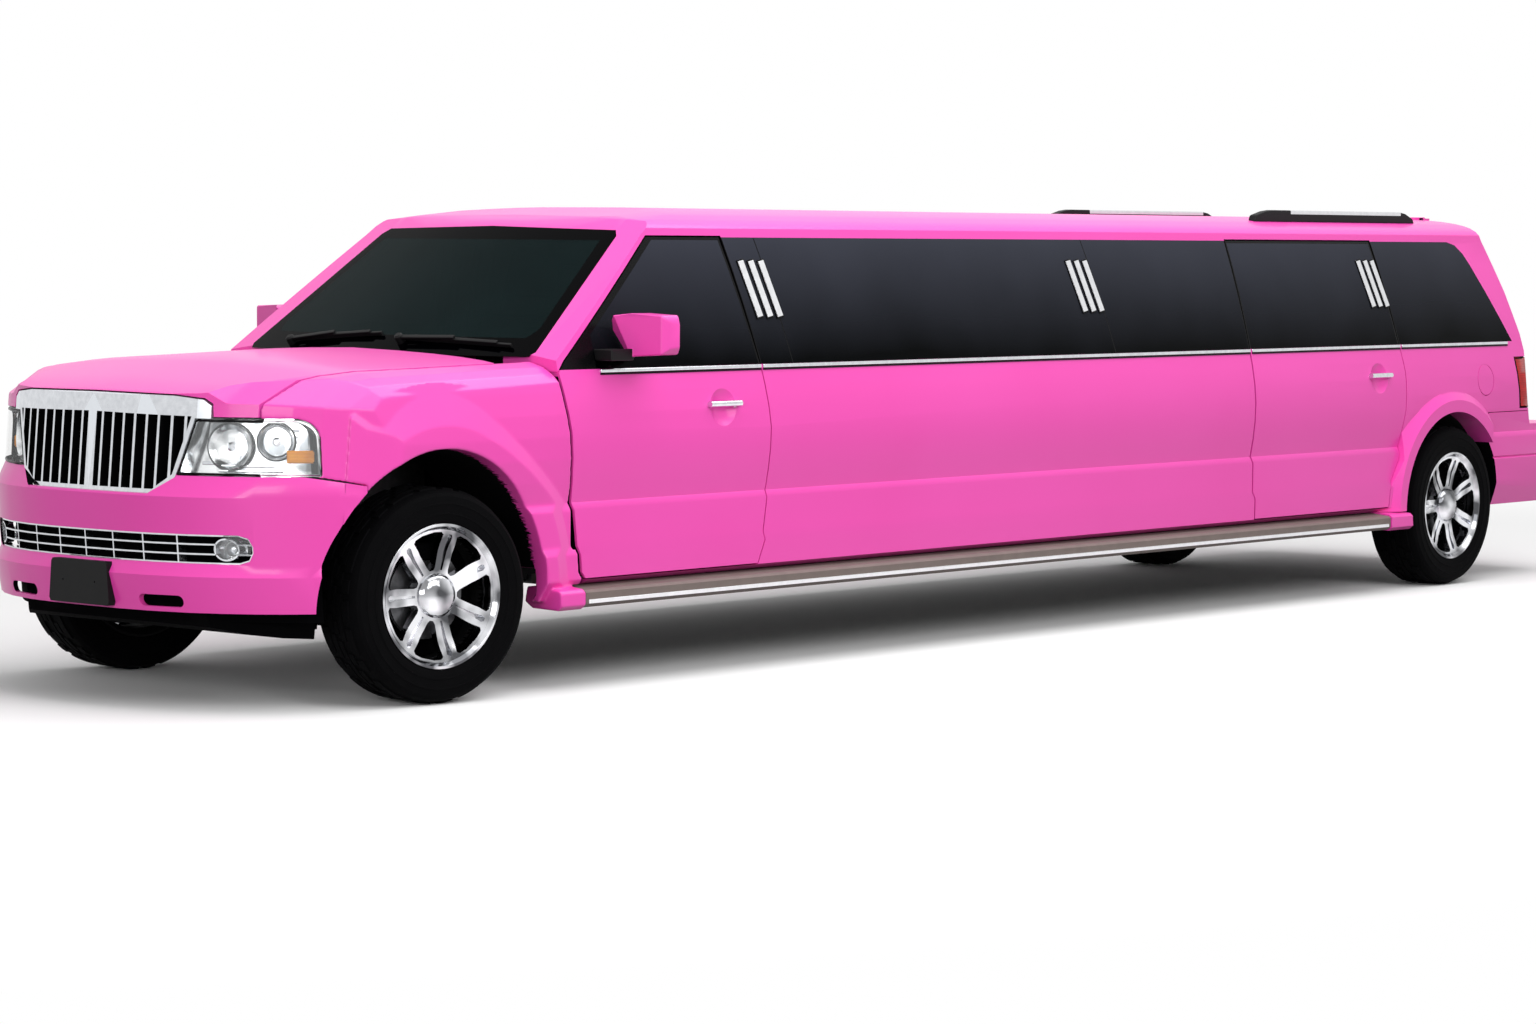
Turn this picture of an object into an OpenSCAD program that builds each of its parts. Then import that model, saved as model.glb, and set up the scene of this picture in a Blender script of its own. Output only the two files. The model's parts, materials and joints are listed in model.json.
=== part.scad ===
// Stretch limousine on a full-size sport-utility base, left-hand drive.
// Frame: +X forward, +Y to the car's left, +Z up, origin on the ground below mid-length.
// Stations along the car are distances behind the front axle, fa(d), or ahead of the rear axle, ra(d).

/* [Overall] */
// Distance between the axles
wheelbase = 7300; // [6400:10:8200]
// Front axle to the front of the bumper
front_overhang = 955; // [930:5:1000]
// Rear axle to the back of the bumper
rear_overhang = 1245; // [1200:5:1300]
// Width over the lower body sides
body_w = 1950; // [1910:2:1990]

/* [Body heights] */
// Bottom edge of the sills
sill_z = 400; // [385:1:415]
// Lower crease of the body side
crease_low_z = 537; // [520:1:550]
// Upper crease of the body side
crease_high_z = 705; // [680:1:730]
// Lower edge of the side glass
belt_z = 1235; // [1220:1:1250]
// Upper edge of the side glass
gutter_z = 1750; // [1735:1:1765]
// Crown of the roof
roof_z = 1872; // [1855:1:1890]
// Underside of the floor, and top of the frame rails
floor_z = 550; // [545:1:560]

/* [Body walls] */
// Whole thickness of a door or side wall below the glass
side_wall = 105; // [95:1:110]
// Thickness of the pillars and window frames
frame_wall = 45; // [40:1:50]
// Thickness of the roof
roof_wall = 40; // [32:1:45]
// Thickness of outer skins that have room behind them
skin = 12; // [9:1:14]
// Thickness of the glass
glass_t = 8; // [6:1:10]
// Gap round a door, lid or gate
shut_gap = 6.5; // [5:0.5:8]
// Gap along the hinged edge of a door
hinge_gap = 11; // [10:0.5:13]
// Step of each crease
crease_step = 16; // [10:1:20]

/* [Wheels] */
// Outer diameter of a tyre
tyre_d = 812; // [800:2:824]
// Width of a tyre
tyre_w = 275; // [255:1:285]
// Outer diameter of a rim's lip
rim_d = 545; // [530:1:556]
// Distance between the wheels of an axle
track = 1704; // [1690:2:1712]
// Number of spokes
spokes = 7; // [5:1:9]
// Radius of the spindles
spindle_r = 30; // [26:1:34]
// Play between spindle and hub
spindle_play = 0.06; // [0.02:0.02:0.1]
// Radius of the front wheel arches
front_arch_r = 550; // [540:1:556]
// Radius of the rear wheel arches
rear_arch_r = 480; // [470:1:490]
// How far the arch flares stand out
flare = 26; // [18:1:30]
// Angle that the front wheels stand at, to the right when negative
steer_rest = -8.5; // [-12:0.5:12]

/* [Doors] */
// Hinge pin radius
pin_r = 9; // [7:0.5:11]
// Play between a hinge pin and its knuckle
pin_play = 0.06; // [0.02:0.02:0.1]

/* [Hidden] */
$fn = 64;
length = front_overhang + wheelbase + rear_overhang;
x_front = length / 2;
x_fa = x_front - front_overhang;
x_ra = x_fa - wheelbase;
function fa(d) = x_fa - d;
function ra(d) = x_ra + d;
nose_x = x_front - 8;
body_h = body_w / 2;
belt_y = body_h - 45;
gutter_y = belt_y - 155;
inner_y = body_h - side_wall;
ditch_y = gutter_y - 135;
wheel_r = tyre_d / 2;
far = 24000;
// Lateral places in the shape tables are written for the standard body and widen with it
standard_w = 1950;
function wide(y) = y * body_w / standard_w;
function widen(rows) = [for (r = rows) [wide(r[0]), r[1]]];

// Outline tools: a (y, z) outline run along X, an (x, z) outline run along Y, an (x, y) outline run up Z

module along_x(outline, x0, x1) {
    translate([x0, 0, 0]) rotate([90, 0, 90]) linear_extrude(x1 - x0) polygon(outline);
}

module along_y(outline, y0, y1) {
    translate([0, y1, 0]) rotate([90, 0, 0]) linear_extrude(y1 - y0) polygon(outline);
}

module along_z(outline, z0, z1) {
    translate([0, 0, z0]) linear_extrude(z1 - z0) polygon(outline);
}

module box(lo, hi) {
    translate(lo) cube(hi - lo);
}

module mirrored(side) {
    if (side > 0) children();
    else mirror([0, 1, 0]) children();
}

// A half outline joined to its mirror image, points on the middle line taken once
function both(half) =
    concat(half, [for (i = [len(half) - 1 : -1 : 0]) if (half[i][0] > 0) [-half[i][0], half[i][1]]]);

// Everything under a sheet that passes through point p, tilts down towards the front by tilt degrees,
// and falls away from the middle by the drops in rows of [y, drop]
module under(p, tilt, rows) {
    deep = 12000;
    translate(p) rotate([0, tilt, 0]) rotate([90, 0, 90]) translate([0, 0, -far / 2])
        linear_extrude(far)
            polygon(both(concat([[0, -deep], [rows[len(rows) - 1][0], -deep]],
                                [for (i = [len(rows) - 1 : -1 : 0]) [rows[i][0], -rows[i][1]]])));
}

// Half outlines of the body section, rows of [y, z]
function side_rows() =
    let(top = body_h - 2 * crease_step, bulge = 34, steps = 6, z0 = crease_high_z + 16)
    concat([[body_h - 55, sill_z], [body_h - 2, sill_z + 22],
            [body_h, crease_low_z - 16], [body_h - crease_step, crease_low_z + 16],
            [body_h - crease_step, crease_high_z - 14]],
           [for (i = [0 : steps - 1]) let(t = i / steps)
               [top + (belt_y - top) * t + bulge * sin(180 * t), z0 + (belt_z - z0) * t]]);
// Outside of the body side at a height
function side_y(z) = lookup(z, [for (r = side_rows()) [r[1], r[0]]]);
function glass_y(t) = belt_y - (belt_y - gutter_y) * (0.8 * t + 0.2 * t * t);
function glass_rows(inset) = [for (i = [0 : 4]) let(t = i / 4)
    [glass_y(t) - inset, belt_z + (gutter_z - belt_z) * t]];
function roof_rows(inset, drop) = [for (a = [9 : 9 : 81])
    [(gutter_y - inset) * pow(cos(a), 2 / 3), gutter_z + (roof_z - drop - gutter_z) * pow(sin(a), 2 / 3)]];
function outer_section() = both(concat(side_rows(), glass_rows(0), roof_rows(0, 0)));
function inner_section() = both(concat([[inner_y, sill_z - 10], [inner_y, belt_z - 45]],
                                       glass_rows(frame_wall), roof_rows(frame_wall, roof_wall)));

function skin_section(s) = both(concat([for (r = side_rows()) [r[0] - s, r[1]]],
                                       glass_rows(s), roof_rows(s, s)));
function pane_section() = both(concat([for (r = side_rows()) [r[0] - glass_t, r[1]]],
                                      glass_rows(glass_t), roof_rows(0, 0)));

// Windscreen and tail sheets, inset measured square to the sheet
ws_tilt = 35.6;
ws_rows = widen([[0, 0], [200, 4], [400, 16], [600, 34], [800, 56], [1100, 92]]);
tail_rows = widen([[0, 0], [300, 4], [450, 10], [600, 22], [700, 36], [780, 56], [860, 90], [920, 136],
                   [960, 196], [1100, 520]]);
tail_turn_z = 1240;
tail_x = ra(-930);

module windscreen_sheet(inset) {
    under([fa(575) - inset * sin(ws_tilt), 0, 1307 - inset * cos(ws_tilt)], ws_tilt, ws_rows);
}

module tail_sheet(inset) {
    intersection() {
        under([tail_x + inset * sin(62), 0, tail_turn_z - inset * cos(62)], -62, tail_rows);
        under([tail_x + inset * sin(80), 0, tail_turn_z - inset * cos(80)], -80, tail_rows);
    }
}

// Header over the windscreen, tangent sheets in rows of [station, height, tilt, half width of the flat middle]
header_cuts = [[1310, 1822, 17, 500], [1650, 1862, 5, 560]];

module header_sheets(inset) {
    intersection_for (c = header_cuts)
        under([fa(c[0]), 0, c[1] - inset], c[2], widen([[0, 0], [c[3], 6], [800, 30], [1100, 80]]));
}

module cabin_mass(outline, ws_inset, roof_inset, tail_inset) {
    intersection() {
        along_x(outline, ra(-1300), fa(300));
        windscreen_sheet(ws_inset);
        header_sheets(roof_inset);
        tail_sheet(tail_inset);
    }
}

module cabin_outer() {
    cabin_mass(outer_section(), 0, 0, 0);
}

module cabin_inner() {
    cabin_mass(inner_section(), 50, roof_wall, 60);
}

module shell() {
    difference() {
        cabin_outer();
        cabin_inner();
    }
}

// Nose of the car: hood sheets in rows of [station, height, tilt], crown and plan curve in rows of [y, drop]
hood_cuts = [[0, 1292, 1.5], [-420, 1272, 5], [-640, 1232, 11], [-780, 1197, 18], [-870, 1163, 26]];
hood_rows = widen([[0, 0], [250, 6], [450, 14], [600, 23], [720, 34], [800, 46], [860, 62], [910, 88],
                   [945, 125], [970, 180], [1000, 300], [1100, 800]]);
nose_rows = widen([[0, 0], [200, 6], [350, 25], [500, 66], [620, 122], [720, 190], [800, 262], [870, 345],
                   [920, 425], [955, 515], [985, 640], [1100, 1000]]);
// The sheet that rises from the lamps to the hood, and how far it falls beside the raised middle
brow_tilt = 30;
brow_z = 1168;
brow_rows = widen([[0, 0], [300, 12], [450, 38], [520, 62], [600, 118], [720, 160], [800, 200], [870, 246],
                   [920, 290], [955, 340], [1100, 560]]);
nose_tilt = 85;
nose_z = 370;
fender_bottom = 345;

function nose_side_rows(inset, bottom) =
    concat([for (r = side_rows()) [r[0] - inset, r[1] == sill_z ? bottom : r[1]]],
           [[belt_y - inset, belt_z], [belt_y - inset, 1600]]);

// Everything behind a sheet with the plan curve of the nose, through a point at x and z on the middle line
module nose_sheet(x, z, tilt, inset) {
    under([x - inset * sin(tilt), 0, z - inset * cos(tilt)], tilt,
          [for (r = nose_rows) [r[0], r[1] * sin(tilt)]]);
}

module nose_mass(inset) {
    intersection() {
        along_x(both(nose_side_rows(inset, fender_bottom)), fa(1000), x_front + 100);
        intersection_for (c = hood_cuts) under([fa(c[0]), 0, c[1] - inset], c[2], hood_rows);
        under([nose_x - inset * sin(brow_tilt), 0, brow_z - inset * cos(brow_tilt)], brow_tilt, brow_rows);
        nose_sheet(nose_x, nose_z, nose_tilt, inset);
    }
}

module nose_skin(t) {
    difference() {
        nose_mass(0);
        nose_mass(t);
    }
}

// Outlines on the side of the car in rows of [station behind the front axle, height]
door_bottom = sill_z + 26;
front_door_front = [[765, door_bottom], [745, 450], [714, 700], [690, 1000], [652, 1225], [690, 1264]];
front_door_rear = [[1769, gutter_z], [1855, belt_z], [1880, 980], [1876, 736], [1840, 520],
                   [1798, door_bottom]];
front_door_rows = concat(front_door_front, [[1325, gutter_z]], front_door_rear);
// Gap at the upper rear corner of a door, which turns back a little before it leaves the frame
corner_gap = 13.5;
// Places near the rear axle are written for the standard wheelbase and move with that axle
standard_wheelbase = 7300;
function back(d) = d - standard_wheelbase + wheelbase;
rear_door_rows = [[back(5480), door_bottom], [back(5480), gutter_z], [back(6774), gutter_z],
                  [back(6830), belt_z], [back(6850), 1100], [back(6845), 900], [back(6800), 660],
                  [back(6700), 510],
                  [back(6690), door_bottom]];
function stations(rows) = [for (r = rows) [fa(r[0]), r[1]]];

// An outline moved outwards by g, square to each edge
function unit(v) = v / norm(v);
function twice_area(p) = [for (i = [0 : len(p) - 1]) cross(p[i], p[(i + 1) % len(p)])] * [for (q = p) 1];
function grow(p, g) =
    let(n = len(p), s = twice_area(p) > 0 ? g : -g)
    [for (i = [0 : n - 1])
        let(u = unit(p[i] - p[(i + n - 1) % n]), v = unit(p[(i + 1) % n] - p[i]),
            m = [u[1], -u[0]], k = [v[1], -v[0]])
        p[i] + s * (m + k) / (1 + m * k)];

module outline_y(rows, y0, y1, g) {
    along_y(grow(stations(rows), g), y0, y1);
}

// Fixed panes and door glasses: rows of [front bottom, front top, rear bottom, rear top] stations
quarter_rows = [[back(6842), belt_z], [back(6792), gutter_z], [back(7540), gutter_z],
                [back(7610), gutter_z - 16],
                [back(7668), gutter_z - 60], [back(7710), gutter_z - 118], [back(7963), belt_z]];
pillar_rows = [[1867, belt_z], [1787, gutter_z], [1985, gutter_z], [2065, belt_z]];
middle_rows = [[2071, belt_z], [1991, gutter_z], [back(4290), gutter_z], [back(4370), belt_z]];
rear_pane_rows = [[back(4376), belt_z], [back(4296), gutter_z], [back(5468), gutter_z], [back(5468), belt_z]];
fixed_panes = [pillar_rows, middle_rows, rear_pane_rows, quarter_rows];
front_glass_rows = [[868, belt_z], [868, 1368], [1352, gutter_z - 12], [1759, gutter_z - 12], [1847, belt_z]];
rear_glass_rows = [[back(5488), belt_z], [back(5488), gutter_z - 12], [back(6764), gutter_z - 12],
                   [back(6822), belt_z]];

module band(rows) {
    intersection() {
        difference() {
            cabin_outer();
            along_x(pane_section(), ra(-1300), fa(300));
        }
        along_y(stations(rows), 300, 1100);
    }
}

// What a pane takes from its frame: the glass and all that lies outside it
module band_cut(rows) {
    difference() {
        along_y(stations(rows), 300, 1100);
        along_x(pane_section(), ra(-1300), fa(300));
    }
}

module aperture(rows, g) {
    along_y(grow(stations(rows), -g), 100, 1100);
}

// Door hinges: upright pins, front door and rear door
hinge_y = body_h - 50;
front_hinge_d = 820;
rear_hinge_d = back(5600);
hinge_heights = [640, 1010];
knuckle_h = 36;

module hinge_pins(d) {
    for (z = hinge_heights) {
        translate([fa(d), hinge_y, z - 45]) cylinder(r = pin_r, h = 90);
        for (e = [-45, 25]) {
            translate([fa(d), hinge_y, z + e]) cylinder(r = 18, h = 20);
            box([fa(d + 60), hinge_y - 12, z + e], [fa(d), hinge_y + 12, z + e + 20]);
        }
    }
}

module hinge_knuckles(d, y_in) {
    for (z = hinge_heights) difference() {
        union() {
            translate([fa(d), hinge_y, z - knuckle_h / 2]) cylinder(r = 18, h = knuckle_h);
            box([fa(d) - 12, y_in, z - knuckle_h / 2], [fa(d) + 12, hinge_y, z + knuckle_h / 2]);
        }
        translate([fa(d), hinge_y, z - 50]) cylinder(r = pin_r + pin_play, h = 100);
    }
}

// Room that the front flange of a door needs behind its skin
module hinge_room(d) {
    intersection() {
        along_x(skin_section(skin), fa(d + 22), fa(d - 300));
        box([fa(d + 22), inner_y - 20, 0], [fa(d - 300), 1100, belt_z - 25]);
    }
}

// Room for the inner front edge of a door, which turns inward ahead of its pins
module door_swing(d, edge_d) {
    r = norm([d - edge_d, hinge_y - inner_y]) + shut_gap;
    translate([fa(d), hinge_y, door_bottom - shut_gap]) cylinder(r = r, h = belt_z - door_bottom);
}

module corner_room(top_d, belt_d) {
    along_y([[fa(top_d - 60), belt_z], [fa(top_d - 60), gutter_z + shut_gap],
             [fa(top_d + corner_gap), gutter_z + shut_gap], [fa(belt_d + shut_gap), belt_z]], 300, 1100);
}

// Bar handle over a round hollow in the door
handle_len = 190;
handle_r = 13;
hollow_r = 140;
hollow_depth = 24;

module handle(d, z) {
    translate([fa(d), side_y(z) + handle_r, z]) rotate([0, 90, 0])
        cylinder(r = handle_r, h = handle_len, center = true);
    for (e = [-80, 80]) translate([fa(d) + e, side_y(z) - 60, z]) rotate([-90, 0, 0]) cylinder(r = 9, h = 62);
}

module handle_hollow(d, z) {
    translate([fa(d), side_y(z) + hollow_r - hollow_depth, z]) sphere(r = hollow_r);
}

module front_door() {
    difference() {
        intersection() {
            shell();
            outline_y(front_door_rows, ditch_y + shut_gap, 1100, 0);
        }
        hinge_room(front_hinge_d);
        handle_hollow(1590, 1082);
        band_cut(front_glass_rows);
        aperture(front_glass_rows, 40);
    }
    handle(1590, 1082);
    hinge_pins(front_hinge_d);
}

module rear_door() {
    difference() {
        intersection() {
            shell();
            outline_y(rear_door_rows, ditch_y + shut_gap, 1100, 0);
        }
        hinge_room(rear_hinge_d);
        handle_hollow(back(6600), 1086);
        band_cut(rear_glass_rows);
        aperture(rear_glass_rows, 40);
    }
    handle(back(6600), 1086);
    hinge_pins(rear_hinge_d);
}

// Windscreen opening and glass, front view rows of [y, z]
ws_glass = widen([[0, 1282], [780, 1282], [800, 1300], [668, 1752], [640, 1776], [0, 1790]]);

module windscreen() {
    color("darkslategray") intersection() {
        difference() {
            windscreen_sheet(0);
            windscreen_sheet(glass_t);
        }
        along_x(both(ws_glass), fa(1500), fa(400));
        header_sheets(0);
    }
}

module windscreen_cut() {
    difference() {
        along_x(both(ws_glass), fa(1500), fa(400));
        windscreen_sheet(glass_t);
    }
}

// Liftgate, rear view rows of [y, z]; it hangs from two outside hinges at the back of the roof
gate_bottom = 812;
gate_rows = widen([[0, gate_bottom], [700, gate_bottom], [738, 850], [738, belt_z], [690, 1560], [648, 1760],
                   [648, 1900], [0, 1900]]);
gate_glass_rows = widen([[0, 1275], [690, 1275], [645, 1560], [600, 1690], [560, 1720], [0, 1740]]);
gate_light_rows = widen([[0, 1315], [640, 1315], [600, 1550], [560, 1660], [530, 1680], [0, 1700]]);
gate_x = ra(-600);
gate_gap = 8;
gate_axis_z = roof_z - 4;
gate_hinges = [-380, 380];
gate_leaf = 22;
gate_pin_r = 6;
gate_knuckle_r = 12;

module gate_region(g) {
    along_x(grow(both(gate_rows), g), ra(-1300), gate_x + g - gate_gap / 2);
}

module tail_skin(t) {
    difference() {
        cabin_outer();
        cabin_mass(outer_section(), 0, 0, t);
    }
}

module gate_glass_shape() {
    intersection() {
        tail_skin(glass_t);
        along_x(both(gate_glass_rows), ra(-1300), gate_x - 40);
    }
}

module gate_glass_cut() {
    difference() {
        along_x(both(gate_glass_rows), ra(-1300), gate_x - 40);
        tail_sheet(glass_t);
    }
}

module liftgate() {
    color("hotpink") {
        difference() {
            intersection() {
                tail_skin(55);
                gate_region(0);
            }
            gate_glass_cut();
            along_x(both(gate_light_rows), ra(-1300), ra(-300));
        }
        for (y = gate_hinges) {
            translate([gate_x, y, gate_axis_z]) rotate([90, 0, 0])
                cylinder(r = gate_pin_r, h = 90, center = true);
            for (e = [-gate_leaf - 22, 22]) {
                translate([gate_x, y + e + gate_leaf, gate_axis_z]) rotate([90, 0, 0])
                    cylinder(r = gate_knuckle_r, h = gate_leaf);
                box([gate_x - 55, y + e, gate_axis_z - 130],
                    [gate_x - 4, y + e + gate_leaf, gate_axis_z + 6]);
            }
        }
    }
}

module liftgate_glass() {
    color("darkslategray") gate_glass_shape();
}

roof_split_z = gutter_z - 8;

module roof() {
    color("hotpink") {
        difference() {
            intersection() {
                shell();
                box([gate_x + gate_gap / 2, -ditch_y, roof_split_z], [fa(900), ditch_y, 2000]);
            }
            windscreen_cut();
            windscreen_light();
            for (y = gate_hinges) box([gate_x - 20, y - 52, roof_z - 60], [gate_x + 18, y + 52, 2000]);
        }
        for (y = gate_hinges) difference() {
            union() {
                translate([gate_x, y, gate_axis_z]) rotate([90, 0, 0])
                    cylinder(r = gate_knuckle_r, h = 40, center = true);
                box([gate_x, y - 20, roof_z - 36], [gate_x + 70, y + 20, gate_axis_z + 8]);
            }
            translate([gate_x, y, gate_axis_z]) rotate([90, 0, 0])
                cylinder(r = gate_pin_r + pin_play, h = 60, center = true);
        }
    }
}

ws_light = widen([[0, 1322], [735, 1322], [750, 1335], [630, 1720], [605, 1738], [0, 1750]]);

module windscreen_light() {
    along_x(both(ws_light), fa(1500), fa(400));
}

// Rear bumper: side rows of [station behind the rear axle, height], section rows of [inset from the side,
// height], plan rows of [inset from the back, inset from the side]
bumper_top = gate_bottom - 12;
rear_seam_z = 868;
rear_seam_gap = 4;
bumper_section = [[6, rear_seam_z], [18, 765], [0, 735], [0, 642], [8, 636], [0, 628], [10, 500], [50, 385]];
bumper_plan = [[190, 30], [90, 90], [25, 230], [0, 415]];

module rear_bumper_mass(g) {
    end = rear_overhang;
    along_y(grow([for (r = [[370, rear_seam_z], [770, rear_seam_z], [812, bumper_top], [end - 45, bumper_top],
                            [end, 740], [end, 450], [end - 50, 385], [370, 385]]) [ra(-r[0]), r[1]]], g),
            -1100, 1100);
}

module rear_bumper() {
    end = rear_overhang;
    half = concat([[ra(-370), body_h], [ra(-900), body_h]],
                  [for (r = bumper_plan) [ra(r[0] - end), body_h - r[1]]]);
    color("hotpink") {
        difference() {
            intersection() {
                rear_bumper_mass(0);
                along_x(both([for (r = bumper_section) [body_h - r[0], r[1]]]), ra(-end), ra(-300));
                along_z(both_ways(half), 300, 900);
            }
            box([ra(-end + 70), -body_h + 130, 300], [ra(-830), body_h - 130, bumper_top - 40]);
            box([ra(-860), -body_h + 60, 300], [ra(-300), body_h - 60, 900]);
            for (s = [1, -1]) rear_arch(s, rear_arch_r);
        }
        for (s = [1, -1]) mirrored(s) box([ra(-end + 60), rail_y - 40, 420], [rail_end, rail_y + 40, 540]);
    }
}

module rear_arch(side, r) {
    mirrored(side) translate([x_ra, track / 2 - 212, wheel_r]) rotate([-90, 0, 0]) cylinder(r = r, h = 600);
}

// The front arch stands a little ahead of its wheel
arch_lead = 25;

module front_arch(side, r) {
    mirrored(side) translate([x_fa + arch_lead, track / 2 - 352, wheel_r]) rotate([-90, 0, 0])
        cylinder(r = r, h = 700);
}

// Broad flare: an upright lip round the arch, then a cone that runs back into the body side
flare_lip = 60;

module flare_ring(x, r_in, r_out) {
    drop = 18;
    root = 45;
    slope = (r_out - r_in - flare_lip) / (flare + drop);
    translate([x, body_h - root, wheel_r]) rotate([-90, 0, 0])
        cylinder(r1 = r_in + flare_lip + slope * (root + flare), r2 = r_in + flare_lip, h = root + flare);
}

// Lamps stand in the openings by their bases; their faces are smaller by lamp_seam over lamp_face of depth
lamp_seam = 5;
lamp_face = 8;

module tail_lamp_shape(g) {
    intersection() {
        cabin_outer();
        along_y(grow([for (r = [[650, 1155], [690, 884], [1100, 884], [1100, 1155]]) [ra(-r[0]), r[1]]], g),
                wide(738) + gate_gap, 1100);
    }
}

module tail_lamp() {
    color("firebrick") difference() {
        union() {
            tail_lamp_shape(-lamp_seam);
            intersection() {
                tail_lamp_shape(0);
                cabin_mass(skin_section(lamp_face), 0, 0, lamp_face);
            }
        }
        cabin_mass(skin_section(45), 0, 0, 45);
    }
}

// Running board section in rows of [y, z]; the painted caps at its ends are a little larger
board_rows = [[846, 344], [856, 394], [918, 396], [1018, 386], [1030, 376], [1030, 332],
              [1012, 318], [880, 322]];
board_front_d = 705;
board_rear_d = back(6620);
cap_gap = 5;

module board_cap(d0, d1) {
    along_x(grow(widen(board_rows), 6), fa(d1), fa(d0));
}

flap_d = back(7640);
flap_z = 1040;
flap_r = 82;

module body_side(flap) {
    color("hotpink") {
        difference() {
            union() {
                intersection() {
                    shell();
                    box([ra(-1400), ditch_y, 0], [fa(300), 1100, 2000]);
                }
                intersection() {
                    flare_ring(x_ra, rear_arch_r, rear_flare_r);
                    box([ra(-700), 600, sill_z], [ra(700), 1100, 2000]);
                }
                board_cap(board_rear_d + cap_gap, back(7000));
            }
            outline_y(front_door_rows, 300, 1100, shut_gap);
            corner_room(front_door_rear[0][0], front_door_rear[1][0]);
            along_y([[fa(200), 0], [fa(200), 1600], [fa(646), 1600], [fa(646), 1230], [fa(720), 1000],
                     [fa(790), sill_z + 15], [fa(790), 0]], 300, 1100);
            outline_y(rear_door_rows, 300, 1100, shut_gap);
            corner_room(rear_door_rows[2][0], rear_door_rows[3][0]);
            box([fa(back(5480)) - 20, 600, door_bottom - shut_gap],
                [fa(back(5480)) + hinge_gap, 1100, belt_z]);
            hinge_room(rear_hinge_d);
            rear_arch(1, rear_arch_r);
            rear_bumper_mass(rear_seam_gap);
            gate_region(gate_gap);
            tail_lamp_shape(0);
            windscreen_cut();
            windscreen_light();
            for (p = fixed_panes) {
                band_cut(p);
                aperture(p, 40);
            }
            if (flap) translate([fa(flap_d), side_y(flap_z) - 12, flap_z]) rotate([-90, 0, 0]) difference() {
                cylinder(r = flap_r, h = 60);
                cylinder(r = flap_r - 4, h = 60);
            }
        }
        box([fa(rear_hinge_d - 300), inner_y - 90, floor_z + 30],
            [fa(rear_hinge_d - 420), inner_y + 4, belt_z - 40]);
        box([fa(rear_hinge_d + 90), inner_y - 90, floor_z + 30],
            [fa(rear_hinge_d - 420), inner_y - 60, belt_z - 40]);
        hinge_knuckles(rear_hinge_d, inner_y - 70);
    }
}

module side_glass() {
    color("black") for (s = [1, -1]) mirrored(s) for (p = fixed_panes) band(p);
}

// Front view rows of [y, z] for the hood edge, grille and lamps
hood_edge = widen([[0, 1168], [400, 1164], [525, 1152], [556, 1132], [560, 1084], [1100, 1084]]);
grille_rows = widen([[0, 800], [335, 800], [425, 862], [492, 1078], [550, 1078], [550, 1124], [520, 1146],
                     [400, 1158], [0, 1162]]);
header_rows = widen([[0, 1092], [548, 1084], [550, 1124], [520, 1146], [400, 1158], [0, 1162]]);
lamp_bottom = 868;
lamp_top = 1078;
lamp_rows = widen([[427, lamp_bottom], [492, lamp_top], [1000, lamp_top], [1000, lamp_bottom]]);
lamp_end_d = -548;
lamp_corner_r = 70;
hood_rear_d = 455;
hood_half = wide(775);
hood_plan = [[hood_rear_d, hood_half], [0, wide(765)], [-400, wide(745)], [-700, wide(705)],
             [-800, wide(690)], [-1000, wide(690)]];
hood_axis = [fa(505), 1200];
hood_hinges = [-620, 620];
nose_t = 22;

module hood_region(g) {
    intersection() {
        along_z(concat([for (r = hood_plan) [fa(r[0]) - (r[0] == hood_rear_d ? g : 0), r[1] + g]],
                       [for (i = [len(hood_plan) - 1 : -1 : 0])
                           [fa(hood_plan[i][0]) - (i == 0 ? g : 0), -hood_plan[i][1] - g]]), 900, 1500);
        along_x(both(concat([for (r = hood_edge) [r[0], r[1] - g]], [[wide(1100), 1500], [0, 1500]])),
                fa(900), x_front + 50);
    }
}

module hood() {
    color("hotpink") {
        intersection() {
            nose_skin(nose_t);
            hood_region(0);
        }
        for (y = hood_hinges) {
            translate([hood_axis[0], y, hood_axis[1]]) rotate([90, 0, 0])
                cylinder(r = pin_r, h = 80, center = true);
            for (e = [-40, 20]) {
                translate([hood_axis[0], y + e + 20, hood_axis[1]]) rotate([90, 0, 0])
                    cylinder(r = 16, h = 20);
                box([hood_axis[0], y + e, hood_axis[1] - 10],
                    [hood_axis[0] + 150, y + e + 20, hood_axis[1] + 16]);
                intersection() {
                    nose_mass(4);
                    box([hood_axis[0] + 70, y + e, hood_axis[1]], [hood_axis[0] + 150, y + e + 20, 1400]);
                }
            }
        }
    }
}

// Front bumper: a shelf over the main face, which leans in, and a lip below it
shelf_z = 792;
lip_z = 502;
bumper_bottom = 368;

module bumper_mass(inset) {
    intersection() {
        along_x(both(nose_side_rows(inset, bumper_bottom)), fa(-300), x_front + 100);
        union() {
            intersection() {
                nose_sheet(nose_x - 4, shelf_z, 60, inset);
                nose_sheet(nose_x - 4, shelf_z, 95, inset);
            }
            intersection() {
                nose_sheet(nose_x + 2, lip_z, 58, inset);
                nose_sheet(nose_x + 2, lip_z, 102, inset);
            }
        }
    }
}

module bumper_region(g) {
    along_y(grow([[x_front + 50, lamp_bottom], [fa(-600), lamp_bottom], [fa(-400), 832], [fa(-400), 300],
                  [x_front + 50, 300]], g), -1100, 1100);
}

module lamp_region(g) {
    x = fa(lamp_end_d) + lamp_corner_r;
    z = lamp_top - lamp_corner_r;
    intersection() {
        along_x(grow(lamp_rows, g), fa(lamp_end_d + 100), x_front + 50);
        along_y(grow(concat([[x_front + 80, lamp_bottom], [fa(lamp_end_d), lamp_bottom]],
                            [for (a = [180 : -15 : 90]) [x, z] + lamp_corner_r * [cos(a), sin(a)]],
                            [[x_front + 80, lamp_top]]), g), 0, 1100);
    }
}

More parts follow.
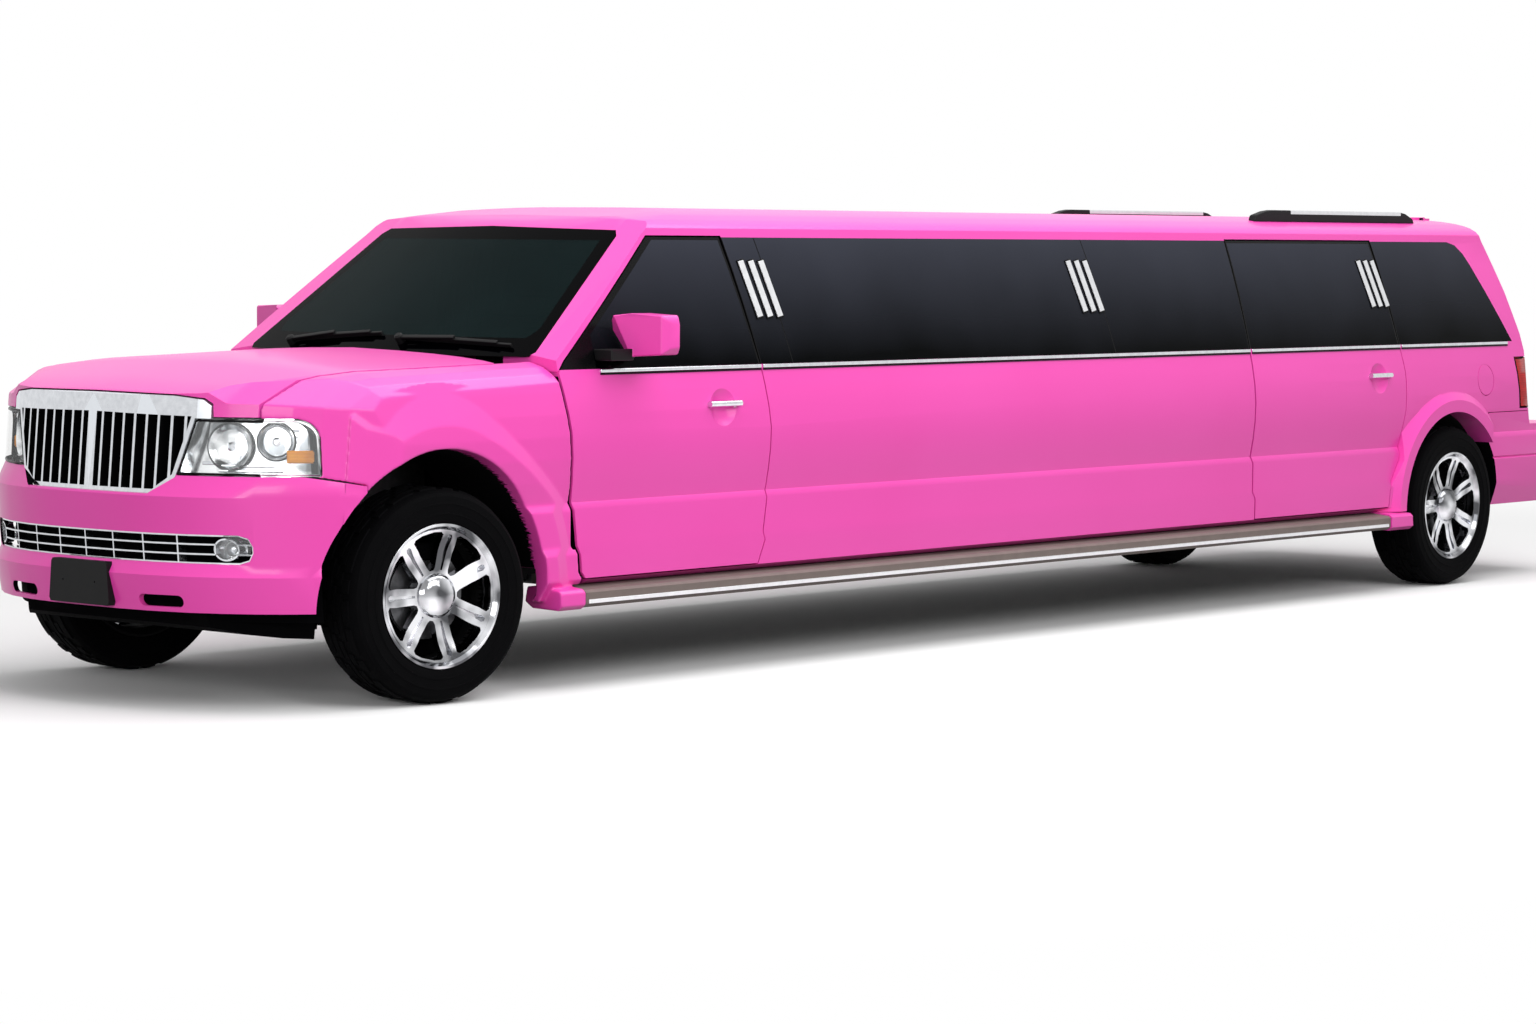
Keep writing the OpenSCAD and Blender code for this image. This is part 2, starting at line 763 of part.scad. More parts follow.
module headlamp() {
    color("whitesmoke") difference() {
        union() {
            intersection() {
                nose_mass(2);
                lamp_region(-lamp_seam);
            }
            intersection() {
                nose_mass(lamp_face);
                lamp_region(0);
            }
        }
        nose_mass(70);
    }
}

front_flare_r = 731;
rear_flare_r = 605;

module front_flare() {
    intersection() {
        flare_ring(x_fa + arch_lead, front_arch_r, front_flare_r);
        nose_mass(-flare);
    }
}

// The gap to the door widens below, where the edge of the door lies nearer its pins
fender_rear = [for (i = [4 : -1 : 0]) let(e = front_door_front[i])
               [fa(e[0] - hinge_gap - max(0, 600 - e[1]) * 0.05), e[1]]];
fender_front = fa(board_front_d - cap_gap);
liner_t = 8;

module fender() {
    color("hotpink") difference() {
        union() {
            intersection() {
                union() {
                    nose_skin(skin);
                    front_flare();
                }
                along_y(concat([[fa(-1000), 300], [fa(-1000), 1400], [fa(640), 1400]], fender_rear,
                               [[fender_rear[4][0], sill_z + 2], [fender_front, sill_z + 2],
                                [fender_front, 300]]), wide(680), 1100);
            }
            intersection() {
                front_arch(1, front_arch_r + liner_t);
                box([fa(600), track / 2 - 300, wheel_r + 70], [fa(-330), body_h - 20, 1100]);
            }
            board_cap(560, board_front_d - cap_gap);
        }
        hood_region(shut_gap);
        box([fa(700), 0, 1000], [fa(hood_rear_d), hood_half + shut_gap, 1500]);
        bumper_region(rear_seam_gap);
        lamp_region(0);
        along_x(both(grille_rows), fa(-600), x_front + 50);
        front_arch(1, front_arch_r);
        intersection() {
            door_swing(front_hinge_d, front_door_front[2][0]);
            box([fa(1000), 0, 0], [fa(600), body_h - skin, belt_z]);
        }
    }
}

lower_grille_rows = widen([[0, 548], [670, 548], [702, 560], [715, 590], [715, 614], [702, 644], [670, 656],
                           [0, 656]]);
fog_y = wide(628);
fog_z = 602;
fog_r = 42;
slot_y = [310, 460];
slot_z = 408;
slot_r = 22;
plate_hole_y = 89;
plate_hole_z = 462;
plate_hole_r = 3.5;

module plate_holes(r) {
    for (s = [1, -1]) translate([x_front - 90, s * plate_hole_y, plate_hole_z]) rotate([0, 90, 0])
        cylinder(r = r, h = 150);
}

module front_bumper() {
    color("hotpink") {
        difference() {
            intersection() {
                union() {
                    difference() {
                        bumper_mass(0);
                        bumper_mass(nose_t);
                    }
                    for (s = [1, -1]) mirrored(s) front_flare();
                }
                bumper_region(0);
            }
            along_x(both(grille_rows), fa(-600), x_front + 50);
            along_x(both(lower_grille_rows), fa(-500), x_front + 50);
            for (s = [1, -1]) {
                front_arch(s, front_arch_r);
                mirrored(s) {
                    box([fa(-700), slot_y[0], slot_z - slot_r], [x_front + 50, slot_y[1], slot_z + slot_r]);
                    for (y = slot_y) translate([fa(-700), y, slot_z]) rotate([0, 90, 0])
                        cylinder(r = slot_r, h = 400);
                }
            }
            plate_holes(plate_hole_r + 1);
        }
        intersection() {
            bumper_mass(4);
            for (s = [1, -1]) mirrored(s)
                box([fa(-700), rail_y - 40, 440], [x_front, rail_y + 40, 535]);
        }
    }
}

grille_bars = 8;
bar_pitch = wide(57);
bar_w = 11;
center_bar_w = 46;
grille_rim = 15;

module grille() {
    color("silver") intersection() {
        difference() {
            nose_mass(0);
            nose_mass(60);
        }
        union() {
            along_x(both(header_rows), fa(-600), x_front + 50);
            difference() {
                along_x(both(grille_rows), fa(-600), x_front + 50);
                along_x(grow(both(grille_rows), -grille_rim), fa(-700), x_front + 60);
            }
            intersection() {
                along_x(both(grille_rows), fa(-600), x_front + 50);
                union() {
                    for (s = [1, -1], i = [1 : grille_bars])
                        translate([fa(-600), s * i * bar_pitch - bar_w / 2, 780]) cube([500, bar_w, 330]);
                    translate([fa(-600), -center_bar_w / 2, 780]) cube([500, center_bar_w, 330]);
                }
            }
        }
    }
}

// Wide grid between the fog lamps, which stand in pods at its ends
grid_rows = [548, 581, 617, 650];
grid_pitch = wide(150);
grid_t = 6;

module lower_grille() {
    color("silver") difference() {
        intersection() {
            difference() {
                bumper_mass(6);
                bumper_mass(46);
            }
            along_x(both(lower_grille_rows), fa(-500), x_front + 50);
            union() {
                for (z = grid_rows) translate([fa(-500), -wide(720), z]) cube([500, 2 * wide(720), grid_t]);
                for (i = [-3 : 3]) translate([fa(-500), i * grid_pitch - grid_t / 2, 540])
                    cube([500, grid_t, 120]);
                for (s = [1, -1]) translate([fa(-500), s * fog_y, fog_z]) rotate([0, 90, 0])
                    cylinder(r = fog_r, h = 500);
                difference() {
                    along_x(both(lower_grille_rows), fa(-500), x_front + 50);
                    along_x(grow(both(lower_grille_rows), -grid_t), fa(-600), x_front + 60);
                }
            }
        }
        for (s = [1, -1]) intersection() {
            bumper_mass(20);
            translate([fa(-500), s * fog_y, fog_z]) rotate([0, 90, 0]) cylinder(r = fog_r - 9, h = 500);
            bumper_mass(0);
        }
    }
}

bracket_rows = [[0, 378], [160, 378], [168, 392], [156, 530], [148, 540], [0, 540]];

module plate_bracket() {
    color("black") difference() {
        along_x(both(bracket_rows), x_front - 60, x_front);
        bumper_mass(0);
        plate_holes(plate_hole_r);
    }
}

// Bulkhead, cowl and the posts that carry the front doors
module bulkhead() {
    color("dimgray") difference() {
        union() {
            box([fa(625), -700, floor_z], [fa(595), 700, 1215]);
            intersection() {
                nose_mass(nose_t + 18);
                box([fa(715), -wide(760), 1150], [fa(hood_rear_d + 12), wide(760), 1400]);
            }
            for (s = [1, -1]) mirrored(s) {
                intersection() {
                    nose_mass(skin);
                    box([fa(622), 600, 1150], [fa(hood_rear_d + 12), wide(900), 1400]);
                    union() {
                        box([fa(622), hood_half + shut_gap, 1150], [fa(hood_rear_d + 12), wide(900), 1400]);
                        nose_mass(nose_t + 18);
                    }
                }
                box([fa(900), 690, floor_z + 30], [fa(595), 715, 1215]);
                box([fa(front_hinge_d + 80), 700, floor_z + 30],
                    [fa(front_hinge_d - 18), inner_y - 22, 1198]);
                hinge_knuckles(front_hinge_d, inner_y - 40);
            }
            for (y = hood_hinges) {
                translate([hood_axis[0], y, hood_axis[1]]) rotate([90, 0, 0])
                    cylinder(r = 16, h = 36, center = true);
            }
        }
        windscreen_cut();
        for (y = hood_hinges) {
            translate([hood_axis[0], y, hood_axis[1]]) rotate([90, 0, 0])
                cylinder(r = pin_r + pin_play, h = 60, center = true);
            for (e = [-50, 18]) box([hood_axis[0] - 26, y + e, hood_axis[1] - 30],
                                    [hood_axis[0] + 200, y + e + 32, 1400]);
        }
    }
}

// Chassis
rail_y = 430;
rail_front_d = -700;
rail_end = ra(-1000);
cross_stations = [-600, 150, 1500, 3000, back(4500), back(6000), back(6800), back(7800)];

module frame_rails() {
    color("dimgray") difference() {
        union() {
            for (s = [1, -1]) mirrored(s) {
                box([rail_end, rail_y - 40, floor_z - 150], [fa(rail_front_d), rail_y + 40, floor_z]);
                for (d = [950, back(6350)]) translate([fa(d), rail_y, floor_z - 165])
                    cylinder(r = 38, h = 20);
            }
            for (d = cross_stations)
                box([fa(d) - 40, -rail_y, floor_z - 95], [fa(d) + 40, rail_y, floor_z - 5]);
        }
        translate([x_ra, 0, wheel_r]) rotate([90, 0, 0]) cylinder(r = 80, h = 3000, center = true);
    }
}

// Inner wall of the rear wheel tubs
tub_y = track / 2 - 232;

module floor_pan() {
    color("dimgray") difference() {
        union() {
            box([ra(-855), -inner_y, floor_z], [fa(640), inner_y, floor_z + 30]);
            for (s = [1, -1]) mirrored(s) {
                box([ra(700), inner_y - 110, sill_z + 15], [fa(910), inner_y - 4, floor_z]);
                intersection() {
                    translate([x_ra, tub_y, wheel_r]) rotate([-90, 0, 0])
                        cylinder(r = rear_arch_r + 20, h = inner_y - tub_y);
                    box([ra(-800), 0, floor_z], [ra(800), 1000, 1200]);
                }
            }
        }
        for (s = [1, -1]) rear_arch(s, rear_arch_r);
        box([ra(-900), 500, 0], [ra(-480), 1100, floor_z - 1]);
        for (s = [1, -1]) mirrored(s) {
            door_swing(front_hinge_d, front_door_front[2][0]);
            door_swing(rear_hinge_d, back(5470));
            for (rows = [front_door_rows, rear_door_rows])
                outline_y(rows, inner_y - shut_gap, 1100, shut_gap);
        }
    }
}

module tyre() {
    r = wheel_r;
    h = tyre_w / 2;
    color("black") rotate_extrude() polygon([
        [bead_r, -116], [lip_r, -116], [lip_r + 4, -h + 8], [lip_r + 30, -h + 2], [r - 66, -h],
        [r - 31, -h + 4],
        [r - 8, -h + 22], [r, -h + 52], [r, h - 52], [r - 8, h - 22], [r - 31, h - 4], [r - 66, h],
        [lip_r + 30, h - 2], [lip_r + 4, h - 8], [lip_r, 116], [bead_r, 116], [bead_r, 85], [bead_r + 40, 75],
        [bead_r + 40, -75], [bead_r, -85]]);
}

lip_r = rim_d / 2;
bead_r = lip_r - 18.5;

// A window's half outline of [radius, half width] and its other side
function both_ways(half) =
    concat(half, [for (i = [len(half) - 1 : -1 : 0]) [half[i][0], -half[i][1]]]);

// Rim, Z outwards, middle of the tyre at the origin
module rim() {
    step = 360 / spokes;
    color("silver") difference() {
        union() {
            rotate_extrude() polygon([[lip_r, 130], [lip_r, 116], [bead_r, 116], [bead_r, -116],
                                      [lip_r, -116], [lip_r, -128], [lip_r - 10, -128], [bead_r - 14, -100],
                                      [bead_r - 16, 60], [bead_r - 6, 112], [lip_r - 10, 130]]);
            difference() {
                rotate_extrude() polygon([[0, 48], [0, 92], [90, 92], [170, 96], [bead_r - 4, 116],
                                          [bead_r - 4, 78], [90, 48]]);
                for (i = [0 : spokes - 1]) rotate((i + 0.5) * step) translate([0, 0, 30]) linear_extrude(120)
                    polygon(both_ways([[96, 8], [106, 17], [bead_r - 66, 52], [bead_r - 34, 70],
                                       [bead_r - 22, 62], [bead_r - 14, 30]]));
                for (i = [0 : spokes - 1]) rotate(i * step) translate([0, 0, 82]) linear_extrude(60)
                    polygon(both_ways([[98, 4], [bead_r - 60, 8], [bead_r - 30, 12], [bead_r - 20, 6]]));
            }
            translate([0, 0, -40]) cylinder(r = 70, h = 120);
            rotate_extrude()
                polygon([[0, 60], [0, 130], [32, 128], [56, 122], [74, 112], [84, 98], [84, 60]]);
        }
        translate([0, 0, -60]) cylinder(r = spindle_r + spindle_play, h = 130);
    }
}

module wheel_at(side, x) {
    translate([x, side * track / 2, wheel_r]) rotate([side > 0 ? -90 : 90, 0, 0]) children();
}

king_y = track / 2 - 82;

module steered(side) {
    translate([x_fa, side * king_y, 0]) rotate([0, 0, steer_rest]) translate([-x_fa, -side * king_y, 0])
        children();
}

arm_low_z = 280;
arm_high_z = 535;
arm_t = 28;

module knuckle(side) {
    color("gray") steered(side) {
        wheel_at(side, x_fa) {
            translate([0, 0, -100]) cylinder(r = spindle_r, h = 162);
            translate([0, 0, -78]) cylinder(r = 62, h = 30);
        }
        translate([x_fa, side * king_y, arm_low_z - arm_t / 2 - 8])
            cylinder(r = 18, h = arm_high_z - arm_low_z + arm_t + 16);
        translate([x_fa - 34, side * king_y - 24, arm_low_z + arm_t / 2 + 2])
            cube([68, 48, arm_high_z - arm_low_z - arm_t - 4]);
    }
}

module front_suspension() {
    color("dimgray") {
        box([x_fa - 90, -rail_y - 30, arm_low_z - 20], [x_fa + 90, rail_y + 30, floor_z - 150]);
        for (s = [1, -1], z = [arm_low_z, arm_high_z]) mirrored(s) difference() {
            root = rail_y + (z == arm_low_z ? 20 : 40);
            union() {
                translate([x_fa, king_y, z - arm_t / 2]) cylinder(r = 38, h = arm_t);
                along_z([[x_fa - 38, king_y - 8], [x_fa + 38, king_y - 8], [x_fa + 130, rail_y + 40],
                         [x_fa + 130, root], [x_fa - 130, root], [x_fa - 130, rail_y + 40]],
                        z - arm_t / 2, z + arm_t / 2);
            }
            translate([x_fa, king_y, z - 100]) cylinder(r = 18 + pin_play, h = 200);
        }
    }
}

module driveline() {
    color("gray") {
        translate([x_ra, 0, wheel_r]) rotate([90, 0, 0]) cylinder(r = 45, h = track - 240, center = true);
        translate([x_ra, 0, wheel_r]) rotate([90, 0, 0])
            cylinder(r = spindle_r, h = track + 124, center = true);
        for (s = [1, -1]) mirrored(s) {
            translate([x_ra, track / 2 - 78, wheel_r]) rotate([-90, 0, 0]) cylinder(r = 62, h = 30);
            translate([x_ra, 560, wheel_r + 20]) cylinder(r = 55, h = floor_z - wheel_r - 20);
        }
        translate([x_ra, 0, wheel_r]) sphere(r = 132);
        translate([x_ra, 0, wheel_r]) rotate([0, 90, 0]) cylinder(r = 38, h = fa(1350) - x_ra);
    }
}

module engine() {
    color("slategray") {
        box([fa(585), -270, floor_z - 5], [fa(-350), 270, 1060]);
        box([fa(1350), -140, floor_z - 148], [fa(480), 140, floor_z - 2]);
    }
}

module radiator() {
    color("black") box([fa(-690), -440, floor_z], [fa(-760), 440, 1050]);
}

module exhaust() {
    color("silver") {
        translate([ra(-1050), -260, 312]) rotate([0, 90, 0]) cylinder(r = 34, h = fa(1250) - ra(-1050));
        box([fa(2500), -370, 275], [fa(1700), -150, 350]);
        for (d = [3000, back(6000)]) box([fa(d) - 15, -275, 320], [fa(d) + 15, -245, floor_z - 95]);
        translate([fa(1280), -260, 312]) cylinder(r = 30, h = 0.1 + floor_z - 148 - 312);
        box([fa(1310), -290, 380], [fa(1250), -140, floor_z - 60]);
    }
}

module fuel_tank() {
    color("black") box([fa(back(5900)), 70, 330], [fa(back(5000)), rail_y - 46, floor_z]);
}

board_arms = [1100, 3000, back(4700), back(6250)];

module running_board() {
    color("tan") {
        along_x(widen(board_rows), fa(board_rear_d), fa(board_front_d));
        for (d = board_arms) {
            box([fa(d) - 25, rail_y - 40, 352], [fa(d) + 25, wide(870), 380]);
            box([fa(d) - 25, rail_y - 40, 352], [fa(d) + 25, rail_y + 40, floor_z - 150]);
        }
    }
}

module mirror_arm() {
    color("black") difference() {
        box([fa(1000), 860, 1268], [fa(868), 1010, 1312]);
        cabin_outer();
    }
    color("hotpink") intersection() {
        along_z([[fa(985), 985], [fa(1000), 1150], [fa(1030), 1168], [fa(1085), 1172], [fa(1100), 1150],
                 [fa(1105), 975], [fa(1075), 945], [fa(1020), 950]], 1200, 1500);
        along_x([[940, 1300], [985, 1282], [1150, 1292], [1172, 1320], [1172, 1410], [1150, 1446],
                 [1000, 1452], [955, 1430]], fa(1200), fa(900));
    }
}

// Roof rail: side rows of [station, height over the crown of the roof]
rail_rows = [[5950, -40], [5975, 4], [6060, 24], [6120, 30], [7310, 30], [7370, 22], [7440, -4], [7465, -40]];
rail_w = 44;

module roof_rail() {
    y = ditch_y - 30;
    color("silver") difference() {
        along_y([for (r = rail_rows) [fa(back(r[0])), roof_z + r[1]]], y - rail_w / 2, y + rail_w / 2);
        cabin_outer();
    }
}

module steering_place() {
    translate([fa(1180), 370, 1205]) rotate([0, -62, 0]) children();
}

module column_shape() {
    steering_place() translate([0, 0, -260]) cylinder(r = 24, h = 260);
}

module dashboard() {
    color("black") difference() {
        union() {
            along_y([[fa(716), 800], [fa(716), 1240], [fa(760), 1262], [fa(930), 1250], [fa(1010), 1190],
                     [fa(1020), 1050], [fa(960), 900], [fa(900), 800]], -680, 680);
            box([fa(720), -680, 800], [fa(625), 680, 1100]);
        }
        column_shape();
    }
}

module steering_wheel() {
    color("black") {
        steering_place() {
            rotate_extrude() translate([180, 0]) circle(r = 16);
            for (a = [0, 120, 240]) rotate([0, 90, a]) cylinder(r = 11, h = 178);
            translate([0, 0, -40]) cylinder(r = 45, h = 50);
        }
        column_shape();
    }
}

module seat(w, depth, z0, back_h) {
    box([-depth, -w / 2, z0], [0, w / 2, z0 + 190]);
    along_y([[-depth, z0 + 100], [-depth + 130, z0 + 190], [-depth + 40, z0 + back_h],
             [-depth - 70, z0 + back_h]], -w / 2, w / 2);
}

module front_seats() {
    color("tan") for (y = [-370, 370]) translate([fa(1330), y, 0]) {
        seat(540, 520, floor_z + 130, 640);
        box([-420, -230, floor_z + 30], [-60, 230, floor_z + 140]);
        box([-575, -120, floor_z + 740], [-490, 120, floor_z + 920]);
    }
}

bench_front = ra(490);

module lounge_seats() {
    color("tan") {
        box([bench_front + 15, 100 - inner_y, floor_z + 30], [fa(2900), -330, floor_z + 330]);
        box([bench_front + 15, 100 - inner_y, floor_z + 300], [fa(2900), 250 - inner_y, floor_z + 640]);
        translate([bench_front, 0, 0]) {
            box([-560, -560, floor_z + 30], [0, 560, floor_z + 330]);
            along_y([[-560, floor_z + 200], [-400, floor_z + 330], [-480, floor_z + 860],
                     [-640, floor_z + 860]], -560, 560);
        }
    }
}

module bar_cabinet() {
    color("saddlebrown") box([fa(back(5050)), 520, floor_z + 30], [fa(2500), inner_y - 6, 1160]);
}

module partition() {
    color("dimgray") difference() {
        intersection() {
            cabin_inner();
            box([fa(2190), -1000, floor_z + 30], [fa(2160), 1000, 2000]);
        }
        box([fa(2300), -480, 1150], [fa(2100), 480, 1620]);
    }
}

module body_side_left() { body_side(true); }
module body_side_right() { mirrored(-1) body_side(false); }
module front_door_left() { color("hotpink") front_door(); }
module front_door_right() { color("hotpink") mirrored(-1) front_door(); }
module rear_door_left() { color("hotpink") rear_door(); }
module rear_door_right() { color("hotpink") mirrored(-1) rear_door(); }
module front_glass_left() { color("black") band(front_glass_rows); }
module front_glass_right() { color("black") mirrored(-1) band(front_glass_rows); }
module rear_glass_left() { color("black") band(rear_glass_rows); }
module rear_glass_right() { color("black") mirrored(-1) band(rear_glass_rows); }
module fender_left() { fender(); }
module fender_right() { mirrored(-1) fender(); }
module headlamp_left() { headlamp(); }
module headlamp_right() { mirrored(-1) headlamp(); }
module tail_lamp_left() { tail_lamp(); }
module tail_lamp_right() { mirrored(-1) tail_lamp(); }
module mirror_left() { mirror_arm(); }
module mirror_right() { mirrored(-1) mirror_arm(); }
module board_left() { running_board(); }
module board_right() { mirrored(-1) running_board(); }
module rail_left() { roof_rail(); }
module rail_right() { mirrored(-1) roof_rail(); }
module knuckle_left() { knuckle(1); }
module knuckle_right() { knuckle(-1); }
module tyre_front_left() { steered(1) wheel_at(1, x_fa) tyre(); }
module tyre_front_right() { steered(-1) wheel_at(-1, x_fa) tyre(); }
module tyre_rear_left() { wheel_at(1, x_ra) tyre(); }
module tyre_rear_right() { wheel_at(-1, x_ra) tyre(); }
module rim_front_left() { steered(1) wheel_at(1, x_fa) rim(); }
module rim_front_right() { steered(-1) wheel_at(-1, x_fa) rim(); }
module rim_rear_left() { wheel_at(1, x_ra) rim(); }
module rim_rear_right() { wheel_at(-1, x_ra) rim(); }

frame_rails();
floor_pan();
bulkhead();
body_side_left();
body_side_right();
roof();
windscreen();
side_glass();
hood();
fender_left();
fender_right();
front_bumper();
grille();
lower_grille();
plate_bracket();
headlamp_left();
headlamp_right();
rear_bumper();
tail_lamp_left();
tail_lamp_right();
liftgate();
liftgate_glass();
front_door_left();
front_door_right();
rear_door_left();
rear_door_right();
front_glass_left();
front_glass_right();
rear_glass_left();
rear_glass_right();
mirror_left();
mirror_right();
board_left();
board_right();
rail_left();
rail_right();
dashboard();
steering_wheel();
front_seats();
lounge_seats();
bar_cabinet();
partition();
engine();
radiator();
front_suspension();
knuckle_left();
knuckle_right();
driveline();
exhaust();
fuel_tank();
tyre_front_left();
tyre_front_right();
tyre_rear_left();
tyre_rear_right();
rim_front_left();
rim_front_right();
rim_rear_left();
rim_rear_right();
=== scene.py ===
import json
import math
import bmesh
import bpy
from mathutils import Matrix, Vector


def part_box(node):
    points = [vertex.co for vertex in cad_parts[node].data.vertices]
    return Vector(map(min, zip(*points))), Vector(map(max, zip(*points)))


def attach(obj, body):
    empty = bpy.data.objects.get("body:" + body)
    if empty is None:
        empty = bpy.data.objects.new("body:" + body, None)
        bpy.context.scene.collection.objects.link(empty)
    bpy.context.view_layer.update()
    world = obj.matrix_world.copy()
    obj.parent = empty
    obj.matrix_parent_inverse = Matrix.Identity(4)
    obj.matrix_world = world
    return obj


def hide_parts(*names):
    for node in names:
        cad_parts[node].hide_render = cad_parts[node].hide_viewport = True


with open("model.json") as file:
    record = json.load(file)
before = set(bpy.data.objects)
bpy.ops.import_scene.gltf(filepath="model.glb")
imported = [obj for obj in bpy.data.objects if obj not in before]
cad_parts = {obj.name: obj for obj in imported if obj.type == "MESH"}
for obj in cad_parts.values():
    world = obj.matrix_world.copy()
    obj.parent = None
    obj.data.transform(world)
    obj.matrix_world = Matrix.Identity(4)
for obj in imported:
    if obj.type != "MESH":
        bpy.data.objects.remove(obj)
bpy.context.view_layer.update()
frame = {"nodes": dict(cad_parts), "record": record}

scene = bpy.context.scene
scene.view_settings.view_transform = "Standard"
bpy.ops.object.select_all(action="DESELECT")

# places along the car, taken from the frame
frontAxleX = sum(c[0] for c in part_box("front_suspension")) / 2
rearAxleX = sum(c[0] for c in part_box("tyre_rear_left")) / 2
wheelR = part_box("tyre_rear_left")[1].z / 2
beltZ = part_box("front_glass_left")[0].z
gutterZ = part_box("side_glass")[1].z
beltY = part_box("side_glass")[1].y
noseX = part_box("grille")[1].x
bodyHalf = 0.975
gutterY = 0.775


def fa(d):  # station behind the front axle
    return frontAxleX - d


def glassY(z):  # outside of the leaning side glass
    t = (z - beltZ) / (gutterZ - beltZ)
    return beltY - (beltY - gutterY) * (0.8 * t + 0.2 * t * t)


def lerpRows(x, rows):  # straight lines between rows of [x, value]
    for (x0, v0), (x1, v1) in zip(rows, rows[1:]):
        if x <= x1:
            return v0 + (v1 - v0) * (x - x0) / (x1 - x0)
    return rows[-1][1]


nosePlan = [[0, 0], [0.2, 0.006], [0.35, 0.025], [0.5, 0.066], [0.62, 0.122], [0.72, 0.19], [0.8, 0.262],
            [0.87, 0.345], [0.92, 0.425], [0.955, 0.515]]  # how far the nose falls back beside its middle


def noseAt(y, z, lean=5.0):  # front surface of the nose
    return noseX - lerpRows(abs(y), nosePlan) - (z - 0.37) * math.tan(math.radians(lean))


# shader maths on sockets
class Sock:
    def __init__(self, tree, socket):
        self.tree = tree
        self.socket = socket

    def math(self, operation, a, b=None):
        node = self.tree.nodes.new("ShaderNodeMath")
        node.operation = operation
        for i, v in enumerate((a, b)):
            if isinstance(v, Sock):
                self.tree.links.new(v.socket, node.inputs[i])
            elif v is not None:
                node.inputs[i].default_value = v
        return Sock(self.tree, node.outputs[0])

    def __add__(self, o):
        return self.math("ADD", self, o)

    __radd__ = __add__

    def __sub__(self, o):
        return self.math("SUBTRACT", self, o)

    def __rsub__(self, o):
        return self.math("SUBTRACT", o, self)

    def __mul__(self, o):
        return self.math("MULTIPLY", self, o)

    __rmul__ = __mul__

    def __gt__(self, o):
        return self.math("GREATER_THAN", self, o)

    def __abs__(self):
        return self.math("ABSOLUTE", self)

    def most(self, o):
        return self.math("MAXIMUM", self, o)

    def root(self):
        return self.math("SQRT", self)

    def clamp(self):
        return self.math("MINIMUM", self.most(0.0), 1.0)


class Finish:
    def __init__(self, name):
        self.mat = bpy.data.materials.new(name)
        self.mat.use_nodes = True
        self.tree = self.mat.node_tree
        self.shader = self.tree.nodes["Principled BSDF"]

    def node(self, kind, settings=None, inputs=None, out=0):
        n = self.tree.nodes.new(kind)
        for k, v in (settings or {}).items():
            setattr(n, k, v)
        for k, v in (inputs or {}).items():
            if isinstance(v, Sock):
                self.tree.links.new(v.socket, n.inputs[k])
            else:
                n.inputs[k].default_value = v
        return Sock(self.tree, n.outputs[out])

    def place(self):
        return self.node("ShaderNodeTexCoord", out=3)

    def axes(self):
        split = self.tree.nodes.new("ShaderNodeSeparateXYZ")
        self.tree.links.new(self.place().socket, split.inputs[0])
        return [Sock(self.tree, split.outputs[i]) for i in range(3)]

    def noise(self, scale, detail=3.0, rough=0.55):
        return self.node("ShaderNodeTexNoise", None,
                         {"Vector": self.place(), "Scale": scale, "Detail": detail, "Roughness": rough})

    def blend(self, factor, a, b):
        return self.node("ShaderNodeMix", {"data_type": "RGBA"}, {0: factor, 6: a, 7: b}, out=2)

    def bump(self, height, strength, distance):
        return self.node("ShaderNodeBump", None,
                         {"Height": height, "Strength": strength, "Distance": distance})

    def set(self, **values):
        for k, v in values.items():
            name = k.replace("_", " ")
            if isinstance(v, Sock):
                self.tree.links.new(v.socket, self.shader.inputs[name])
            else:
                self.shader.inputs[name].default_value = v
        return self.mat


def tone(r, g, b):  # a colour as seen on screen, made linear
    line = [((c / 255 + 0.055) / 1.055) ** 2.4 if c > 10 else c / 255 / 12.92 for c in (r, g, b)]
    return (*line, 1.0)


def paintFinish(name, low, high, rough=0.38, coat=0.22):
    f = Finish(name)
    drift = f.noise(1.3, 2.0)
    flake = f.noise(900.0, 1.0)
    return f.set(Base_Color=f.blend(drift, low, high), Roughness=flake * 0.06 + (rough - 0.03),
                 Specular_IOR_Level=0.3, Coat_Weight=coat, Coat_Roughness=0.12,
                 Normal=f.bump(f.noise(60.0, 2.0), 0.02, 0.002))


def metalFinish(name, low, high, rough, grain=40.0, paintedReflectionContrast=1.0, detail=4.0):
    f = Finish(name)
    # random tone in the metal; a contrast above 1 makes it painted reflection, light and dark patches in the
    # base colour
    hazeAndPaintedReflection = ((f.noise(grain, detail) - 0.5) * paintedReflectionContrast + 0.5).clamp()
    return f.set(Base_Color=f.blend(hazeAndPaintedReflection, low, high), Metallic=1.0, Roughness=hazeAndPaintedReflection * 0.08 + rough)


def plasticFinish(name, low, high, rough, grain=500.0, depth=0.0004, gloss=0.5):
    f = Finish(name)
    grainy = f.noise(grain, 2.0)
    return f.set(Base_Color=f.blend(f.noise(14.0), low, high), Roughness=grainy * 0.15 + rough,
                 Specular_IOR_Level=gloss, Normal=f.bump(grainy, 0.25, depth))


def bandGlassFinish(name, low, high):  # tinted glass, a little greyer towards the roof
    f = Finish(name)
    x, y, z = f.axes()
    # painted sky reflection: the glass turns lighter grey towards the roof
    rise = ((z - beltZ) * (1 / (gutterZ - beltZ)) + (f.noise(1.6, 2.0) - 0.5) * 0.35).clamp()
    return f.set(Base_Color=f.blend(rise, low, high), Roughness=f.noise(3.0, 1.0) * 0.04 + 0.06, Alpha=0.97,
                 Specular_IOR_Level=0.025)


# where the windscreen's printed border begins; its lower corners are round
printed = {"footZ": 1.335, "lean": 0.312, "side": 0.735, "low": 1.352, "high": 1.735, "cornerY": 0.66,
           "cornerZ": 1.425, "cornerR2": 0.0066}


